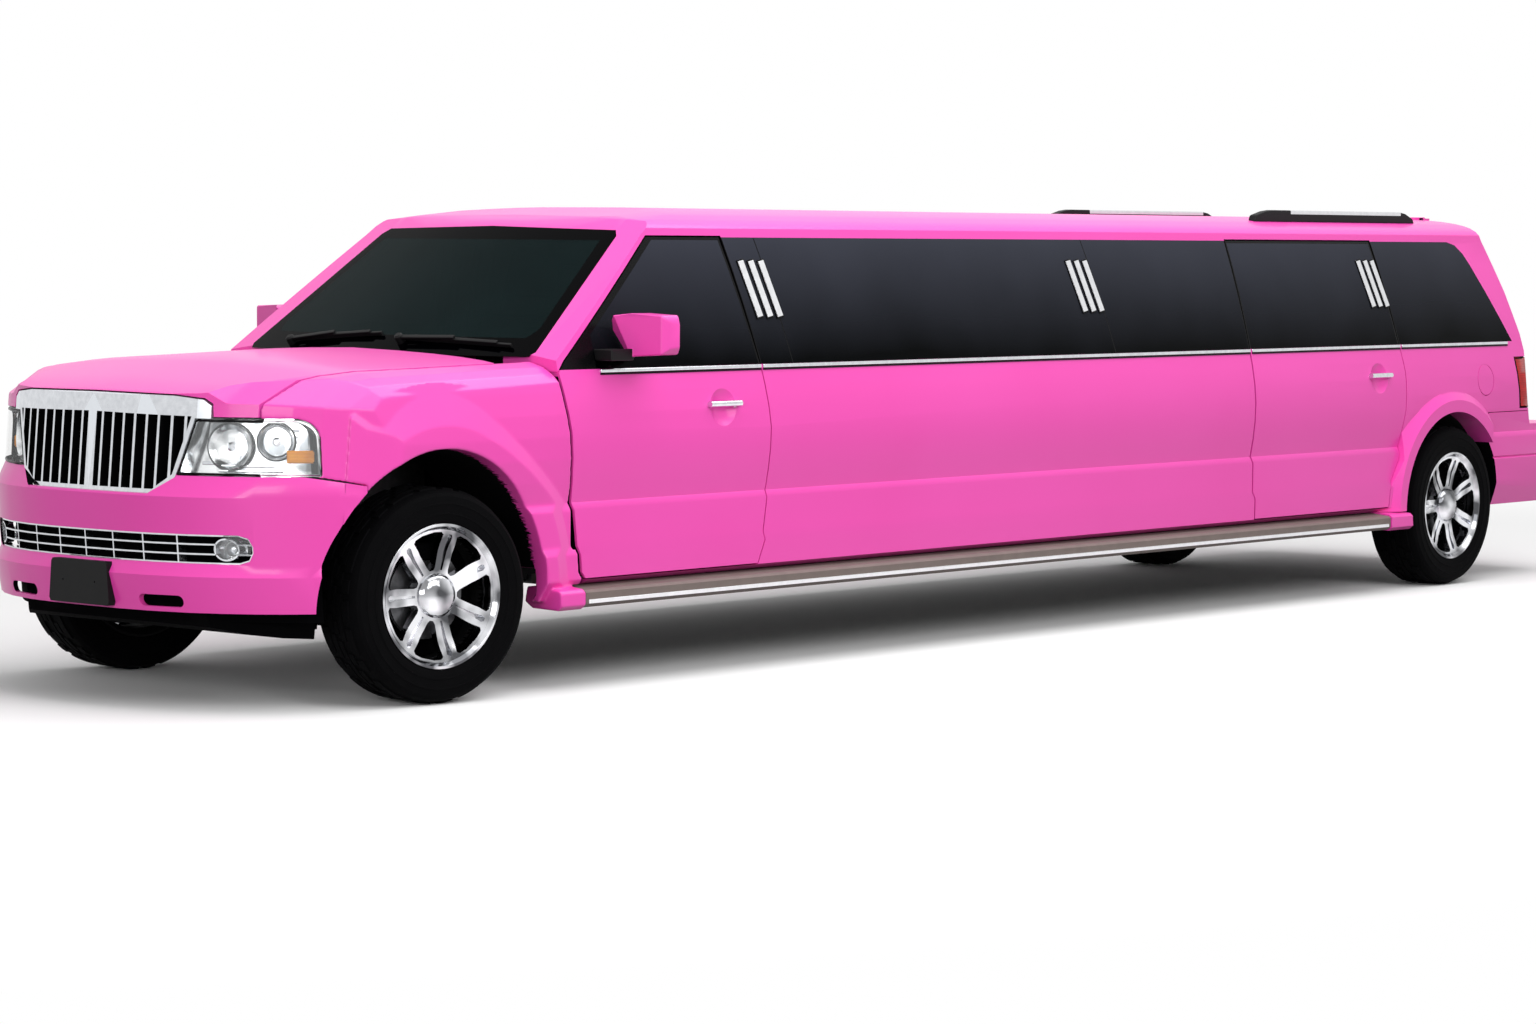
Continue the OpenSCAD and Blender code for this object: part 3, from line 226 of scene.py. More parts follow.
def windscreenFinish(name, low, high, rim):  # see-through middle with a printed black border
    f = Finish(name)
    x, y, z = f.axes()
    side = abs(y) + (z - printed["footZ"]) * printed["lean"]
    edge = (side - printed["side"]).most(printed["low"] - z).most(z - printed["high"])
    across = (side - printed["cornerY"]).most(0.0)
    down = (printed["cornerZ"] - z).most(0.0)
    border = ((edge > 0.0) + (across * across + down * down > printed["cornerR2"])).clamp()
    drift = f.noise(2.0, 2.0)
    body = f.blend(drift, low, high)
    return f.set(Base_Color=f.blend(border, body, rim), Alpha=border * 0.14 + 0.85,
                 Roughness=drift * 0.03 + 0.04, Specular_IOR_Level=0.014)


def clearFinish(name, low, high, alpha, ribs=0.0, gloss=0.5):
    f = Finish(name)
    ripple = f.noise(30.0, 1.0)
    f.set(Base_Color=f.blend(ripple, low, high), Roughness=ripple * 0.05 + 0.03, Alpha=alpha,
          Specular_IOR_Level=gloss)
    if ribs:
        fine = f.node("ShaderNodeTexWave", {"bands_direction": "Z"}, {"Vector": f.place(), "Scale": ribs})
        f.set(Normal=f.bump(fine, 0.4, 0.002))
    return f.mat


def leatherFinish(name, low, high):
    f = Finish(name)
    cells = f.node("ShaderNodeTexVoronoi", None, {"Vector": f.place(), "Scale": 260.0})
    return f.set(Base_Color=f.blend(f.noise(8.0), low, high), Roughness=cells * 0.2 + 0.42,
                 Normal=f.bump(cells, 0.3, 0.001))


def woodFinish(name, low, high):
    f = Finish(name)
    grain = f.node("ShaderNodeTexWave", {"wave_type": "BANDS", "bands_direction": "Z"},
                   {"Vector": f.place(), "Scale": 14.0, "Distortion": 5.0, "Detail": 3.0})
    return f.set(Base_Color=f.blend(grain, low, high), Roughness=grain * 0.1 + 0.25, Coat_Weight=0.6)


pink = paintFinish("limoPinkPaint", tone(231, 66, 169), tone(236, 76, 178))
bandGlass = bandGlassFinish("bandGlass", tone(0, 1, 2), tone(52, 54, 63))
screenGlass = windscreenFinish("windscreenGlass", tone(4, 15, 16), tone(16, 31, 32), tone(1, 1, 2))
chrome = metalFinish("brightChrome", tone(188, 191, 196), tone(230, 232, 236), 0.08)
# wheel chrome with painted reflections: strong noise mottles its colour from dark grey to near white
wheelChrome = metalFinish("wheelChrome", tone(84, 85, 88), tone(234, 235, 239), 0.07, 9.0, 3.6, 1.5)
blackTrim = plasticFinish("blackTrim", tone(10, 10, 11), tone(17, 17, 18), 0.45, gloss=0.15)
glossBlack = plasticFinish("glossBlackEdge", tone(3, 3, 4), tone(8, 8, 9), 0.2, 300.0, 0.0001, 0.08)
# near black for arch liners and lamp housings, and the painted shade behind the nose's openings, under the
# nose, on the grille bars' sides and on the brake shields
deepBlack = plasticFinish("archBlackAndPaintedShade", tone(2, 2, 3), tone(6, 6, 7), 0.85, 160.0, 0.0008, 0.03)
chassisBlack = plasticFinish("chassisPaintAndRimShade", tone(5, 5, 6), tone(12, 12, 13), 0.6, gloss=0.12)
rubber = plasticFinish("tyreRubber", tone(2, 2, 3), tone(6, 6, 7), 0.72, 220.0, 0.0006, 0.04)
clearLens = clearFinish("clearLampLens", tone(235, 240, 243), tone(246, 249, 250), 0.14)
redLens = clearFinish("redLampLens", tone(150, 2, 6), tone(206, 10, 16), 1.0, 26.0, 0.1)
amberLens = clearFinish("amberLampLens", tone(206, 120, 8), tone(240, 164, 36), 1.0, 60.0, 0.15)
boardTaupe = plasticFinish("boardTaupe", tone(104, 93, 89), tone(122, 110, 105), 0.45, 260.0, 0.0006, 0.25)
satinSilver = metalFinish("satinSilver", tone(206, 207, 210), tone(232, 233, 235), 0.3)
headerSilver = metalFinish("headerSilver", tone(217, 221, 226), tone(223, 226, 230), 0.42, 2.0, detail=0.0)
# lamp reflector silver with painted reflections: strong noise mottles its colour from grey to near white
lampSilver = metalFinish("lampSilver", tone(118, 122, 125), tone(248, 250, 251), 0.10, 12.0, 4.0, 1.5)
seatLeather = leatherFinish("seatLeather", tone(58, 54, 52), tone(76, 71, 68))
cabinetWood = woodFinish("cabinetWood", tone(60, 30, 16), tone(96, 54, 30))
castMetal = metalFinish("castMetal", tone(70, 70, 72), tone(104, 104, 106), 0.45)
print("finishes ready")


# modelling by operators, one object at a time
def selectOnly(obj):
    bpy.ops.object.select_all(action="DESELECT")
    obj.select_set(True)
    bpy.context.view_layer.objects.active = obj


def modify(obj, kind, **settings):  # one modifier, applied at once
    selectOnly(obj)
    mod = obj.modifiers.new("shape", kind)
    for k, v in settings.items():
        setattr(mod, k, v)
    bpy.ops.object.modifier_apply(modifier=mod.name)


def pickFaces(obj, test):  # leaves edit mode open on the faces chosen by place and normal
    selectOnly(obj)
    bpy.ops.object.mode_set(mode="EDIT")
    bpy.ops.mesh.select_mode(type="FACE")
    bpy.ops.mesh.select_all(action="DESELECT")
    mesh = bmesh.from_edit_mesh(obj.data)
    for f in mesh.faces:
        f.select_set(test(f.calc_center_median(), f.normal))
    bmesh.update_edit_mesh(obj.data)


def endEdit():
    bpy.ops.object.mode_set(mode="OBJECT")


def settle(obj, place, turn=(0, 0, 0)):  # its place goes into the mesh
    selectOnly(obj)
    if isinstance(turn, Matrix):
        obj.matrix_world = Matrix.Translation(place) @ turn.to_4x4()
    else:
        obj.rotation_euler = turn
        obj.location = place
    bpy.ops.object.transform_apply(location=True, rotation=True, scale=True)
    return obj


def faceAlong(direction):  # turns +Z to a direction
    return Vector(direction).to_track_quat("Z", "Y").to_matrix()


def smoothMesh(obj, angle):
    selectOnly(obj)
    bpy.ops.object.shade_smooth_by_angle(angle=math.radians(angle))
    modify(obj, "WEIGHTED_NORMAL", keep_sharp=True, weight=60)  # large faces lead, so panels shade evenly


def addBlock(name, size, edge=0.002, segments=2):  # a bevelled block round the origin
    bpy.ops.object.select_all(action="DESELECT")
    bpy.ops.mesh.primitive_cube_add(size=1)
    obj = bpy.context.object
    obj.name = name
    obj.scale = size
    bpy.ops.object.transform_apply(location=False, rotation=False, scale=True)
    if edge:
        modify(obj, "BEVEL", width=edge, segments=segments, limit_method="ANGLE")
    return obj


def addLathe(name, profile, sides=64, closed=False):  # rings of [radius, height] drawn out one after another
    bpy.ops.object.select_all(action="DESELECT")
    bpy.ops.mesh.primitive_circle_add(vertices=sides, radius=profile[0][0], location=(0, 0, profile[0][1]))
    obj = bpy.context.object
    obj.name = name
    bpy.ops.object.transform_apply(location=True, rotation=False, scale=False)
    bpy.ops.object.mode_set(mode="EDIT")
    bpy.ops.mesh.select_mode(type="EDGE")
    bpy.ops.mesh.select_all(action="SELECT")
    if not closed:  # both ends get a cap
        bpy.ops.mesh.edge_face_add()
    for (r0, z0), (r1, z1) in zip(profile, profile[1:]):
        bpy.ops.mesh.extrude_region_move(TRANSFORM_OT_translate={"value": (0, 0, z1 - z0)})
        bpy.ops.transform.resize(value=(r1 / r0, r1 / r0, 1))
    bpy.ops.mesh.select_all(action="SELECT")
    bpy.ops.mesh.remove_doubles(threshold=0.00001)
    bpy.ops.mesh.normals_make_consistent(inside=False)
    bpy.ops.object.mode_set(mode="OBJECT")
    return obj


def joinAll(name, parts):
    bpy.ops.object.select_all(action="DESELECT")
    for p in parts:
        p.select_set(True)
    bpy.context.view_layer.objects.active = parts[0]
    bpy.ops.object.join()
    parts[0].name = name
    return parts[0]


def giveFinish(obj, mats, pick=None):
    obj.data.materials.clear()
    for m in mats:
        obj.data.materials.append(m)
    for p in obj.data.polygons:
        p.material_index = pick(p.center, p.normal) if pick else 0


def finishPiece(obj, body, mats=None, pick=None, angle=32.0):
    if mats:
        giveFinish(obj, mats, pick)
    smoothMesh(obj, angle)
    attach(obj, body)
    return obj


def freeCopy(copy, name):  # a copy keeps no parent, place or notes of its original
    copy.name = name
    copy.parent = None
    copy.matrix_world = Matrix.Identity(4)
    for k in list(copy.keys()):
        del copy[k]
    return copy


def otherSide(obj, name):  # mirrored copy with its own mesh
    selectOnly(obj)
    bpy.ops.object.duplicate()
    copy = freeCopy(bpy.context.object, name)
    copy.scale = (1, -1, 1)
    bpy.ops.object.transform_apply(location=False, rotation=False, scale=True)
    bpy.ops.object.mode_set(mode="EDIT")
    bpy.ops.mesh.select_all(action="SELECT")
    bpy.ops.mesh.remove_doubles(threshold=0.000005)
    bpy.ops.mesh.normals_make_consistent(inside=False)
    bpy.ops.object.mode_set(mode="OBJECT")
    return copy


def bothSides(obj, name, bodies, mats=None, pick=None, angle=32.0):  # left piece, right copy
    twin = otherSide(obj, name + "_right")
    obj.name = name + "_left"
    for piece, body in zip((obj, twin), bodies):
        finishPiece(piece, body, mats, pick, angle)
    return obj, twin


nodeBody = {n: b for b, ns in frame["record"]["behaviour"]["bodies"].items() for n in ns}
carBody = nodeBody["floor_pan"]


def copyNode(node):  # merged copy of a CAD node
    source = frame["nodes"][node]
    obj = freeCopy(source.copy(), node + "_shown")
    obj.data = source.data.copy()
    scene.collection.objects.link(obj)
    selectOnly(obj)
    bpy.ops.object.mode_set(mode="EDIT")
    bpy.ops.mesh.select_all(action="SELECT")
    bpy.ops.mesh.remove_doubles(threshold=0.00002)
    bpy.ops.mesh.dissolve_limited(angle_limit=math.radians(0.4))
    bpy.ops.object.mode_set(mode="OBJECT")
    return obj


def splitMesh(obj, place, normal):  # so that no face runs across a change of finish
    selectOnly(obj)
    bpy.ops.object.mode_set(mode="EDIT")
    bpy.ops.mesh.select_all(action="SELECT")
    bpy.ops.mesh.bisect(plane_co=place, plane_no=normal)
    bpy.ops.object.mode_set(mode="OBJECT")


# shows a CAD node in its finishes; with a pressed size its mesh is made even and eased as sheet metal is
def dress(node, mats, bevel=0.0, angle=28.0, pick=None, segments=2, splits=(), pressed=0.0):
    obj = copyNode(node)
    if pressed:
        modify(obj, "REMESH", mode="VOXEL", voxel_size=pressed)
        modify(obj, "SMOOTH", factor=0.5, iterations=14)
        modify(obj, "DECIMATE", ratio=0.35)
    for place, normal in splits:
        splitMesh(obj, place, normal)
    if bevel:
        modify(obj, "BEVEL", width=bevel, segments=segments, limit_method="ANGLE",
               angle_limit=math.radians(32), harden_normals=False)
    finishPiece(obj, nodeBody[node], mats, pick, angle)
    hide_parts(node)
    return obj


# painted panels: the dark band runs between the windscreen pillar and the rounded rear corner
band = {"front": ((0.690, 1.264), (1.325, 1.750)), "rear": ((7.651, 1.720), (7.963, 1.235))}
handle = {"at": ((1.590, 1.082), (6.600, 1.086)), "half": (0.1, 0.016), "fromY": 0.9595}
arch = {"lip": 0.046, "foot": 0.402, "reach": 0.66}
panelDepth = 0.16


def inBand(c):
    d = frontAxleX - c.x
    if not beltZ - 0.002 < c.z < gutterZ + 0.002:
        return False
    (d0, z0), (d1, z1) = band["front"]
    (d2, z2), (d3, z3) = band["rear"]
    return d0 + (d1 - d0) * (c.z - z0) / (z1 - z0) < d < d2 + (d3 - d2) * (c.z - z2) / (z3 - z2)


def wheelward(c, n, axleX):  # faces of an arch that look at the wheel
    way = Vector((axleX - c.x, 0, wheelR - c.z))
    inside = abs(c.y) < bodyHalf - arch["lip"] and c.z > arch["foot"]
    return inside and way.length < arch["reach"] and n.dot(way.normalized()) > 0.5


def panelPick(c, n):  # paint, dark band, bright handles, dark inside
    if inBand(c):
        return 3 if abs(n.x) > 0.6 else 1
    if abs(c.y) < bodyHalf - panelDepth and c.z < beltZ:
        return 3
    length, height = handle["half"]
    for d, z in handle["at"]:
        if abs(fa(d) - c.x) < length and abs(c.z - z) < height and abs(c.y) > handle["fromY"]:
            return 2
    return 3 if wheelward(c, n, rearAxleX) else 0


def fenderPick(c, n):
    inward = n.y * c.y < 0 and abs(n.y) > 0.3
    return 1 if wheelward(c, n, frontAxleX) or inward else 0


def bumperPick(c, n):
    return 1 if n.x < -0.4 or n.y * c.y < -0.2 else 0


def rearPick(c, n):
    return 1 if n.x > 0.5 and c.x < rearAxleX else 0


for node in ("body_side_left", "body_side_right", "front_door_left", "front_door_right", "rear_door_left",
             "rear_door_right"):
    dress(node, [pink, glossBlack, chrome, deepBlack], 0.003, pick=panelPick,
          splits=(((0, 0, beltZ), (0, 0, 1)),))
for node in ("fender_left", "fender_right"):
    dress(node, [pink, deepBlack], angle=40.0, pick=fenderPick, pressed=0.004)
dress("front_bumper", [pink, deepBlack], 0.003, pick=bumperPick)
backBumper = dress("rear_bumper", [pink, deepBlack], 0.003, pick=rearPick)
for node in ("roof", "hood"):
    dress(node, [pink], 0.003)
gatePanel = dress("liftgate", [pink, deepBlack], 0.003, pick=lambda c, n: 1 if n.x > 0.6 else 0)
print("panels dressed")


# mirrors: painted cap drawn forward at its inner end, black arm, glass at the back
mirror = {"inner": 1.0, "front": 2.765, "draw": (0.055, -0.028, 0.0), "armTop": 1.3135, "armEnd": 1.012}


def mirrorPick(c, n):
    if c.z < mirror["armTop"] and abs(c.y) < mirror["armEnd"]:
        return 1
    return 2 if n.x < -0.85 else 0


def dressMirror(node):
    obj = copyNode(node)
    dx, dy, dz = mirror["draw"]
    for v in obj.data.vertices:
        if v.co.x > mirror["front"] and 0.94 < abs(v.co.y) < mirror["inner"] and v.co.z > mirror["armTop"]:
            v.co += Vector((dx, dy if v.co.y > 0 else -dy, dz))
    modify(obj, "BEVEL", width=0.026, segments=4, limit_method="ANGLE", angle_limit=math.radians(32))
    finishPiece(obj, nodeBody[node], [pink, blackTrim, chrome], mirrorPick, 50.0)
    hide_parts(node)


for node in ("mirror_left", "mirror_right"):
    dressMirror(node)

for node in ("side_glass", "front_glass_left", "front_glass_right", "rear_glass_left", "rear_glass_right"):
    dress(node, [bandGlass])
gateGlass = dress("liftgate_glass", [bandGlass])
dress("windscreen", [screenGlass])


grilleParts = {"headerZ": 1.083, "middleHalf": 0.032, "barsHalf": 0.43}


def grillePick(c, n):  # satin header and middle bar, bright fronts of the thin bars, dark sides
    if c.z > grilleParts["headerZ"] or abs(c.y) < grilleParts["middleHalf"] and n.x > 0.5:
        return 1
    # sides of the thin chrome bars are near black: painted shade
    return 2 if abs(n.y) > 0.3 and abs(c.y) < grilleParts["barsHalf"] else 0


dress("grille", [chrome, headerSilver, deepBlack], 0.003, pick=grillePick)


# lower grille with a fog lamp at each end: its disc is clear inside a bright ring
fog = {"y": 0.628, "z": 0.602, "r": 0.042, "ring": 0.006, "bowl": 0.029}


def dressLowerGrille():
    obj = copyNode("lower_grille")
    for way in (1, -1):  # parts the lamp's disc from the bars that run into it
        splitMesh(obj, (0, way * (fog["y"] - fog["r"] + 0.002), 0), (0, 1, 0))

    def podFace(c, n):
        return n.x > 0.3 and math.hypot(abs(c.y) - fog["y"], c.z - fog["z"]) < fog["r"] - 0.004

    pickFaces(obj, podFace)
    bpy.ops.mesh.inset(thickness=fog["ring"])
    endEdit()
    lens = [p.index for p in obj.data.polygons if p.select]
    giveFinish(obj, [chrome, clearLens, deepBlack], lambda c, n: 2 if n.x < -0.3 else 0)
    for p in obj.data.polygons:
        behind = math.hypot(abs(p.center.y) - fog["y"], p.center.z - fog["z"]) < fog["r"] - 0.008
        if p.index in lens or behind and p.normal.x < -0.3:
            p.material_index = 1
    finishPiece(obj, nodeBody["lower_grille"])
    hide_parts("lower_grille")


dressLowerGrille()
dress("plate_bracket", [blackTrim], 0.008, segments=3)


def headLens(c, n):
    return noseAt(c.y, c.z) - c.x < 0.0055 and (n.x > 0.15 or n.y * c.y > 0.3 * abs(c.y))


def tailLens(c, n):
    return (n.x < -0.3 or n.y * c.y > 0.3 * abs(c.y)) and abs(n.z) < 0.5


def dressLamp(node, lens, back, test, rim):  # the lens keeps a dark rim, the housing behind it is bright
    obj = copyNode(node)
    pickFaces(obj, test)
    bpy.ops.mesh.inset(thickness=rim)
    endEdit()
    lensFaces = [p.index for p in obj.data.polygons if p.select]
    middleX = sum(c.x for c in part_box(node)) / 2
    giveFinish(obj, [lens, glossBlack, back],
               lambda c, n: 2 if n.x * (c.x - middleX) < 0 or n.y * c.y < 0 else 1)
    for i in lensFaces:
        obj.data.polygons[i].material_index = 0
    finishPiece(obj, nodeBody[node])
    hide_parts(node)


rail = {"from": 6.28, "to": 7.32, "low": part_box("rail_left")[1].z - 0.019}  # bright plate on a black foot


def railPick(c, n):
    return 0 if c.z > rail["low"] and rail["from"] < frontAxleX - c.x < rail["to"] else 1


joints = frame["record"]["behaviour"]["joints"]
wheelJoint = {j["child"]: j for j in joints if j["child"].startswith("wheel")}


def wheelPlace(wheel):  # middle of a wheel and the way out along its axle
    j = wheelJoint[wheel]
    way = 1 if wheel.endswith("left") else -1
    return Vector(j["pos_m"]), Vector(j["axis"]).normalized() * way


rimDepth = {"dark": 0.044, "spokeBack": 0.075}


def rimPick(wheel):  # bright spokes and lip, dark barrel behind them
    middle, out = wheelPlace(wheel)

    def pick(c, n):
        along = (c - middle).dot(out)
        # the barrel behind the spokes gets chassis black: painted shade inside the wheel
        return 1 if along < rimDepth["dark"] or along < rimDepth["spokeBack"] and n.dot(out) < -0.2 else 0
    return pick


for side in ("left", "right"):
    dressLamp("headlamp_" + side, clearLens, lampSilver, headLens, 0.007)
    dressLamp("tail_lamp_" + side, redLens, deepBlack, tailLens, 0.008)
    dress("board_" + side, [boardTaupe], 0.005)
    dress("rail_" + side, [satinSilver, blackTrim], 0.006, pick=railPick,
          splits=(((0, 0, rail["low"]), (0, 0, 1)), ((fa(rail["from"]), 0, 0), (1, 0, 0)),
                  ((fa(rail["to"]), 0, 0), (1, 0, 0))))
    dress("knuckle_" + side, [castMetal], 0.002)
    for end in ("front", "rear"):
        dress("rim_%s_%s" % (end, side), [wheelChrome, chassisBlack], 0.003,
              pick=rimPick("wheel_%s_%s" % (end, side)))
dress("dashboard", [blackTrim], 0.012)
dress("steering_wheel", [blackTrim])
dress("bar_cabinet", [cabinetWood], 0.006)
for node in ("partition", "bulkhead", "floor_pan", "frame_rails", "front_suspension", "radiator",
             "fuel_tank"):
    dress(node, [chassisBlack], 0.003)
for node in ("engine", "driveline", "exhaust"):
    dress(node, [castMetal], 0.004)
print("solids dressed")


# bright strip under the glass with a black line below it, in runs of [from, to, body]
belt = {"z": 1.2275, "y": 0.9345, "size": (0.012, 0.015), "lineZ": 1.2155, "lineSize": (0.006, 0.007)}
beltRuns = ((0.885, 1.856, "front_door"), (1.868, 5.472, ""), (5.488, 6.836, "rear_door"),
            (6.850, 7.905, ""))


def addBelt():
    for i, (d0, d1, door) in enumerate(beltRuns):
        place = (fa((d0 + d1) / 2), belt["y"], belt["z"])
        strip = settle(addBlock("strip", (d1 - d0, *belt["size"]), 0.004, 3), place)
        line = addBlock("line", (d1 - d0, *belt["lineSize"]), 0.001)
        settle(line, (place[0], place[1] + 0.002, belt["lineZ"]))
        piece = joinAll("beltStrip", [strip, line])
        bodies = [door + s if door else carBody for s in ("_left", "_right")]
        bothSides(piece, "beltStrip%d" % (i + 1), bodies, [chrome, glossBlack],
                  lambda c, n: 1 if c.z < 1.2195 else 0)


# slanted bars on the glass, three in a group: a raised bright bar on a dark foot
bars = {"low": 1.415, "high": 1.665, "width": 0.046, "rim": 0.006, "rise": 0.003, "pitch": 0.064,
        "lean": 11.0}
barGroups = ((1.95, ""), (4.235, ""), (6.705, "rear_door"))


def addBar(d):
    length = (bars["high"] - bars["low"]) / math.cos(math.radians(bars["lean"]))
    bar = addBlock("bar", (bars["width"], 0.005, length), 0.0)
    pickFaces(bar, lambda c, n: n.y > 0.9)
    bpy.ops.mesh.inset(thickness=bars["rim"])
    bpy.ops.mesh.extrude_region_move(TRANSFORM_OT_translate={"value": (0, bars["rise"], 0)})
    endEdit()
    modify(bar, "BEVEL", width=0.001, segments=2, limit_method="ANGLE")
    giveFinish(bar, [glossBlack, satinSilver], lambda c, n: 1 if c.y > 0.0028 else 0)
    low, high = glassY(bars["low"]), glassY(bars["high"])
    lay = Matrix.Rotation(math.atan2(low - high, bars["high"] - bars["low"]), 3, "X")
    turn = lay @ Matrix.Rotation(math.radians(bars["lean"]), 3, "Y")
    return settle(bar, (fa(d), (low + high) / 2 + 0.003, (bars["low"] + bars["high"]) / 2), turn)


def addBarGroups():
    for i, (d, door) in enumerate(barGroups):
        group = joinAll("bars", [addBar(d + k * bars["pitch"]) for k in (-1, 0, 1)])
        bodies = [door + s if door else carBody for s in ("_left", "_right")]
        bothSides(group, "glassBars%d" % (i + 1), bodies)


# bright line along the running board
boardLine = {"from": 0.72, "to": 6.60, "z": 0.341, "y": 1.031, "size": (0.008, 0.016)}


def addBoardLines():
    d0, d1 = boardLine["from"], boardLine["to"]
    line = settle(addBlock("boardLine", (d1 - d0, *boardLine["size"]), 0.003, 3),
                  (fa((d0 + d1) / 2), boardLine["y"], boardLine["z"]))
    bothSides(line, "boardLine", (carBody, carBody), [satinSilver])


addBelt()
addBarGroups()
addBoardLines()
print("side trim added")

# inside of the headlamps: bowls with bulbs in rows of [y, z, radius], an amber block, and a stepped bezel in
# rows of [y, z, length, height]
lampBowls = ((0.592, 0.976, 0.078), (0.738, 0.996, 0.060))
amber = {"y": 0.819, "z": 0.941, "size": (0.138, 0.014, 0.046)}
bezelBlocks = ((0.655, 0.905, 0.20, 0.012), (0.665, 0.887, 0.24, 0.010), (0.815, 1.035, 0.11, 0.012),
               (0.815, 1.012, 0.11, 0.008), (0.815, 0.992, 0.11, 0.008), (0.515, 0.915, 0.05, 0.014))


def noseNormal(y):  # plan direction out of the nose at y
    slope = (lerpRows(y + 0.01, nosePlan) - lerpRows(y - 0.01, nosePlan)) / 0.02
    return Vector((1.0, slope, 0.08)).normalized()


def behindLens(y, z, depth):  # a place behind the lens and the turn that lays a block's +Y outward
    out = noseNormal(y)
    return Vector((noseAt(y, z), y, z)) - out * depth, Matrix.Rotation(math.atan2(-out.x, out.y), 3, "Z")


def addLampInside():
    parts = []
    for y, z, r in lampBowls:
        out = noseNormal(y)
        place = behindLens(y, z, 0.014)[0]
        inside = [(r * math.sqrt(1 - k / 7), -0.044 * k / 7) for k in range(1, 7)]
        outside = [(r * 0.3, -0.052), (r * 0.8, -0.044), (r + 0.006, -0.012), (r + 0.007, 0.001),
                   (r + 0.003, 0.003), (r, 0.0)]
        bowl = addLathe("bowl", outside + inside, 40)
        giveFinish(bowl, [lampSilver])
        bulb = addLathe("bulb", [(0.008, -0.036), (0.013, -0.03), (0.018, -0.02), (0.016, -0.009),
                                 (0.008, -0.004)], 20)
        giveFinish(bulb, [chrome])
        shade = addLathe("shade", [(r + 0.0075, -0.02), (r + 0.013, -0.02), (r + 0.013, -0.004),
                                   (r + 0.0075, -0.004), (r + 0.0075, -0.02)], 40, True)
        giveFinish(shade, [glossBlack])
        parts += [settle(p, place, faceAlong(out)) for p in (bowl, bulb, shade)]
    for y, z, length, height in bezelBlocks:
        block = addBlock("bezel", (length, 0.012, height), 0.003)
        giveFinish(block, [chrome])
        parts.append(settle(block, *behindLens(y, z, 0.03)))
    block = addBlock("amber", amber["size"], 0.0)
    pickFaces(block, lambda c, n: n.y > 0.9)
    bpy.ops.mesh.inset(thickness=0.005)
    bpy.ops.mesh.extrude_region_move(TRANSFORM_OT_translate={"value": (0, 0.004, 0)})
    endEdit()
    giveFinish(block, [amberLens])
    parts.append(settle(block, *behindLens(amber["y"], amber["z"], 0.017)))
    lamp = joinAll("lampInside", parts)
    bothSides(lamp, "lampInside", (carBody, carBody))


# near-black panels behind the nose's openings, put there as painted shade: [low, high, depth behind the
# surface, rows of [height, half width]]
paintedShadePanels = {"grille": (0.81, 1.085, 0.046, ((0.80, 0.33), (0.862, 0.42), (1.09, 0.49))),
          "lowerGrille": (0.545, 0.662, 0.05, ((0.54, 0.712), (0.67, 0.712))),
          "bumperSlot": (0.33, 0.50, 0.055, ((0.33, 0.84), (0.50, 0.84)))}


def addPaintedShadePanel(name):
    z0, z1, inset, widths = paintedShadePanels[name]
    bpy.ops.object.select_all(action="DESELECT")
    bpy.ops.mesh.primitive_grid_add(x_subdivisions=32, y_subdivisions=5, size=2)
    obj = bpy.context.object
    obj.name = name + "Shade"
    for v in obj.data.vertices:
        z = (z0 + z1) / 2 + v.co.y * (z1 - z0) / 2
        y = -v.co.x * lerpRows(z, widths)
        x = noseAt(y, z) if z > 0.75 else noseAt(y, 1.16 - z)
        v.co = (x - inset, y, z)
    modify(obj, "SOLIDIFY", thickness=0.004, offset=-1)
    finishPiece(obj, carBody, [deepBlack])


# black tray under the nose, near black as painted shade under the car, in rows of [distance ahead of the
# axle, half width, height]
trayRows = ((0.80, 0.50, 0.43), (0.765, 0.53, 0.31), (0.68, 0.63, 0.285), (0.58, 0.72, 0.27),
            (0.445, 0.745, 0.258), (0.43, 0.43, 0.257), (0.13, 0.42, 0.252))
tray = {"columns": 10, "wallTop": 0.44, "wallShare": 0.97}


def addTray():
    bpy.ops.object.select_all(action="DESELECT")
    bpy.ops.mesh.primitive_grid_add(x_subdivisions=tray["columns"], y_subdivisions=len(trayRows) - 1, size=2)
    obj = bpy.context.object
    obj.name = "noseTray"
    for v in obj.data.vertices:
        ahead, half, z = trayRows[round((1 - v.co.y) / 2 * (len(trayRows) - 1))]
        edge = abs(v.co.x) > 0.99  # the outer columns stand up as walls
        across = v.co.x if edge else v.co.x / (1 - 2 / tray["columns"]) * tray["wallShare"]
        v.co = (frontAxleX + ahead, across * half, tray["wallTop"] if edge else z)
    modify(obj, "SOLIDIFY", thickness=0.004, offset=0)
    finishPiece(obj, carBody, [deepBlack])


def addFogLamps():  # bowl and bulb behind each clear disc
    out = noseNormal(fog["y"])
    place = Vector((noseAt(fog["y"], 1.16 - fog["z"]), fog["y"], fog["z"])) - out * 0.024
    r = fog["bowl"]
    bowl = addLathe("bowl", [(r * 0.3, -0.03), (r * 0.9, -0.024), (r, -0.004), (r, 0.0), (r - 0.002, 0.0),
                             (r * 0.85, -0.008), (r * 0.6, -0.016), (r * 0.2, -0.021)], 36)
    eye = addLathe("eye", [(0.006, -0.014), (0.011, -0.010), (0.0125, -0.006), (0.010, -0.002),
                           (0.004, 0.0)], 24)
    giveFinish(bowl, [lampSilver])
    giveFinish(eye, [chrome])
    lamp = joinAll("fog", [settle(p, place, faceAlong(out)) for p in (bowl, eye)])
    bothSides(lamp, "fogLamp", (carBody, carBody))


addLampInside()
for name in paintedShadePanels:
    addPaintedShadePanel(name)
addTray()
addFogLamps()
print("nose furnished")

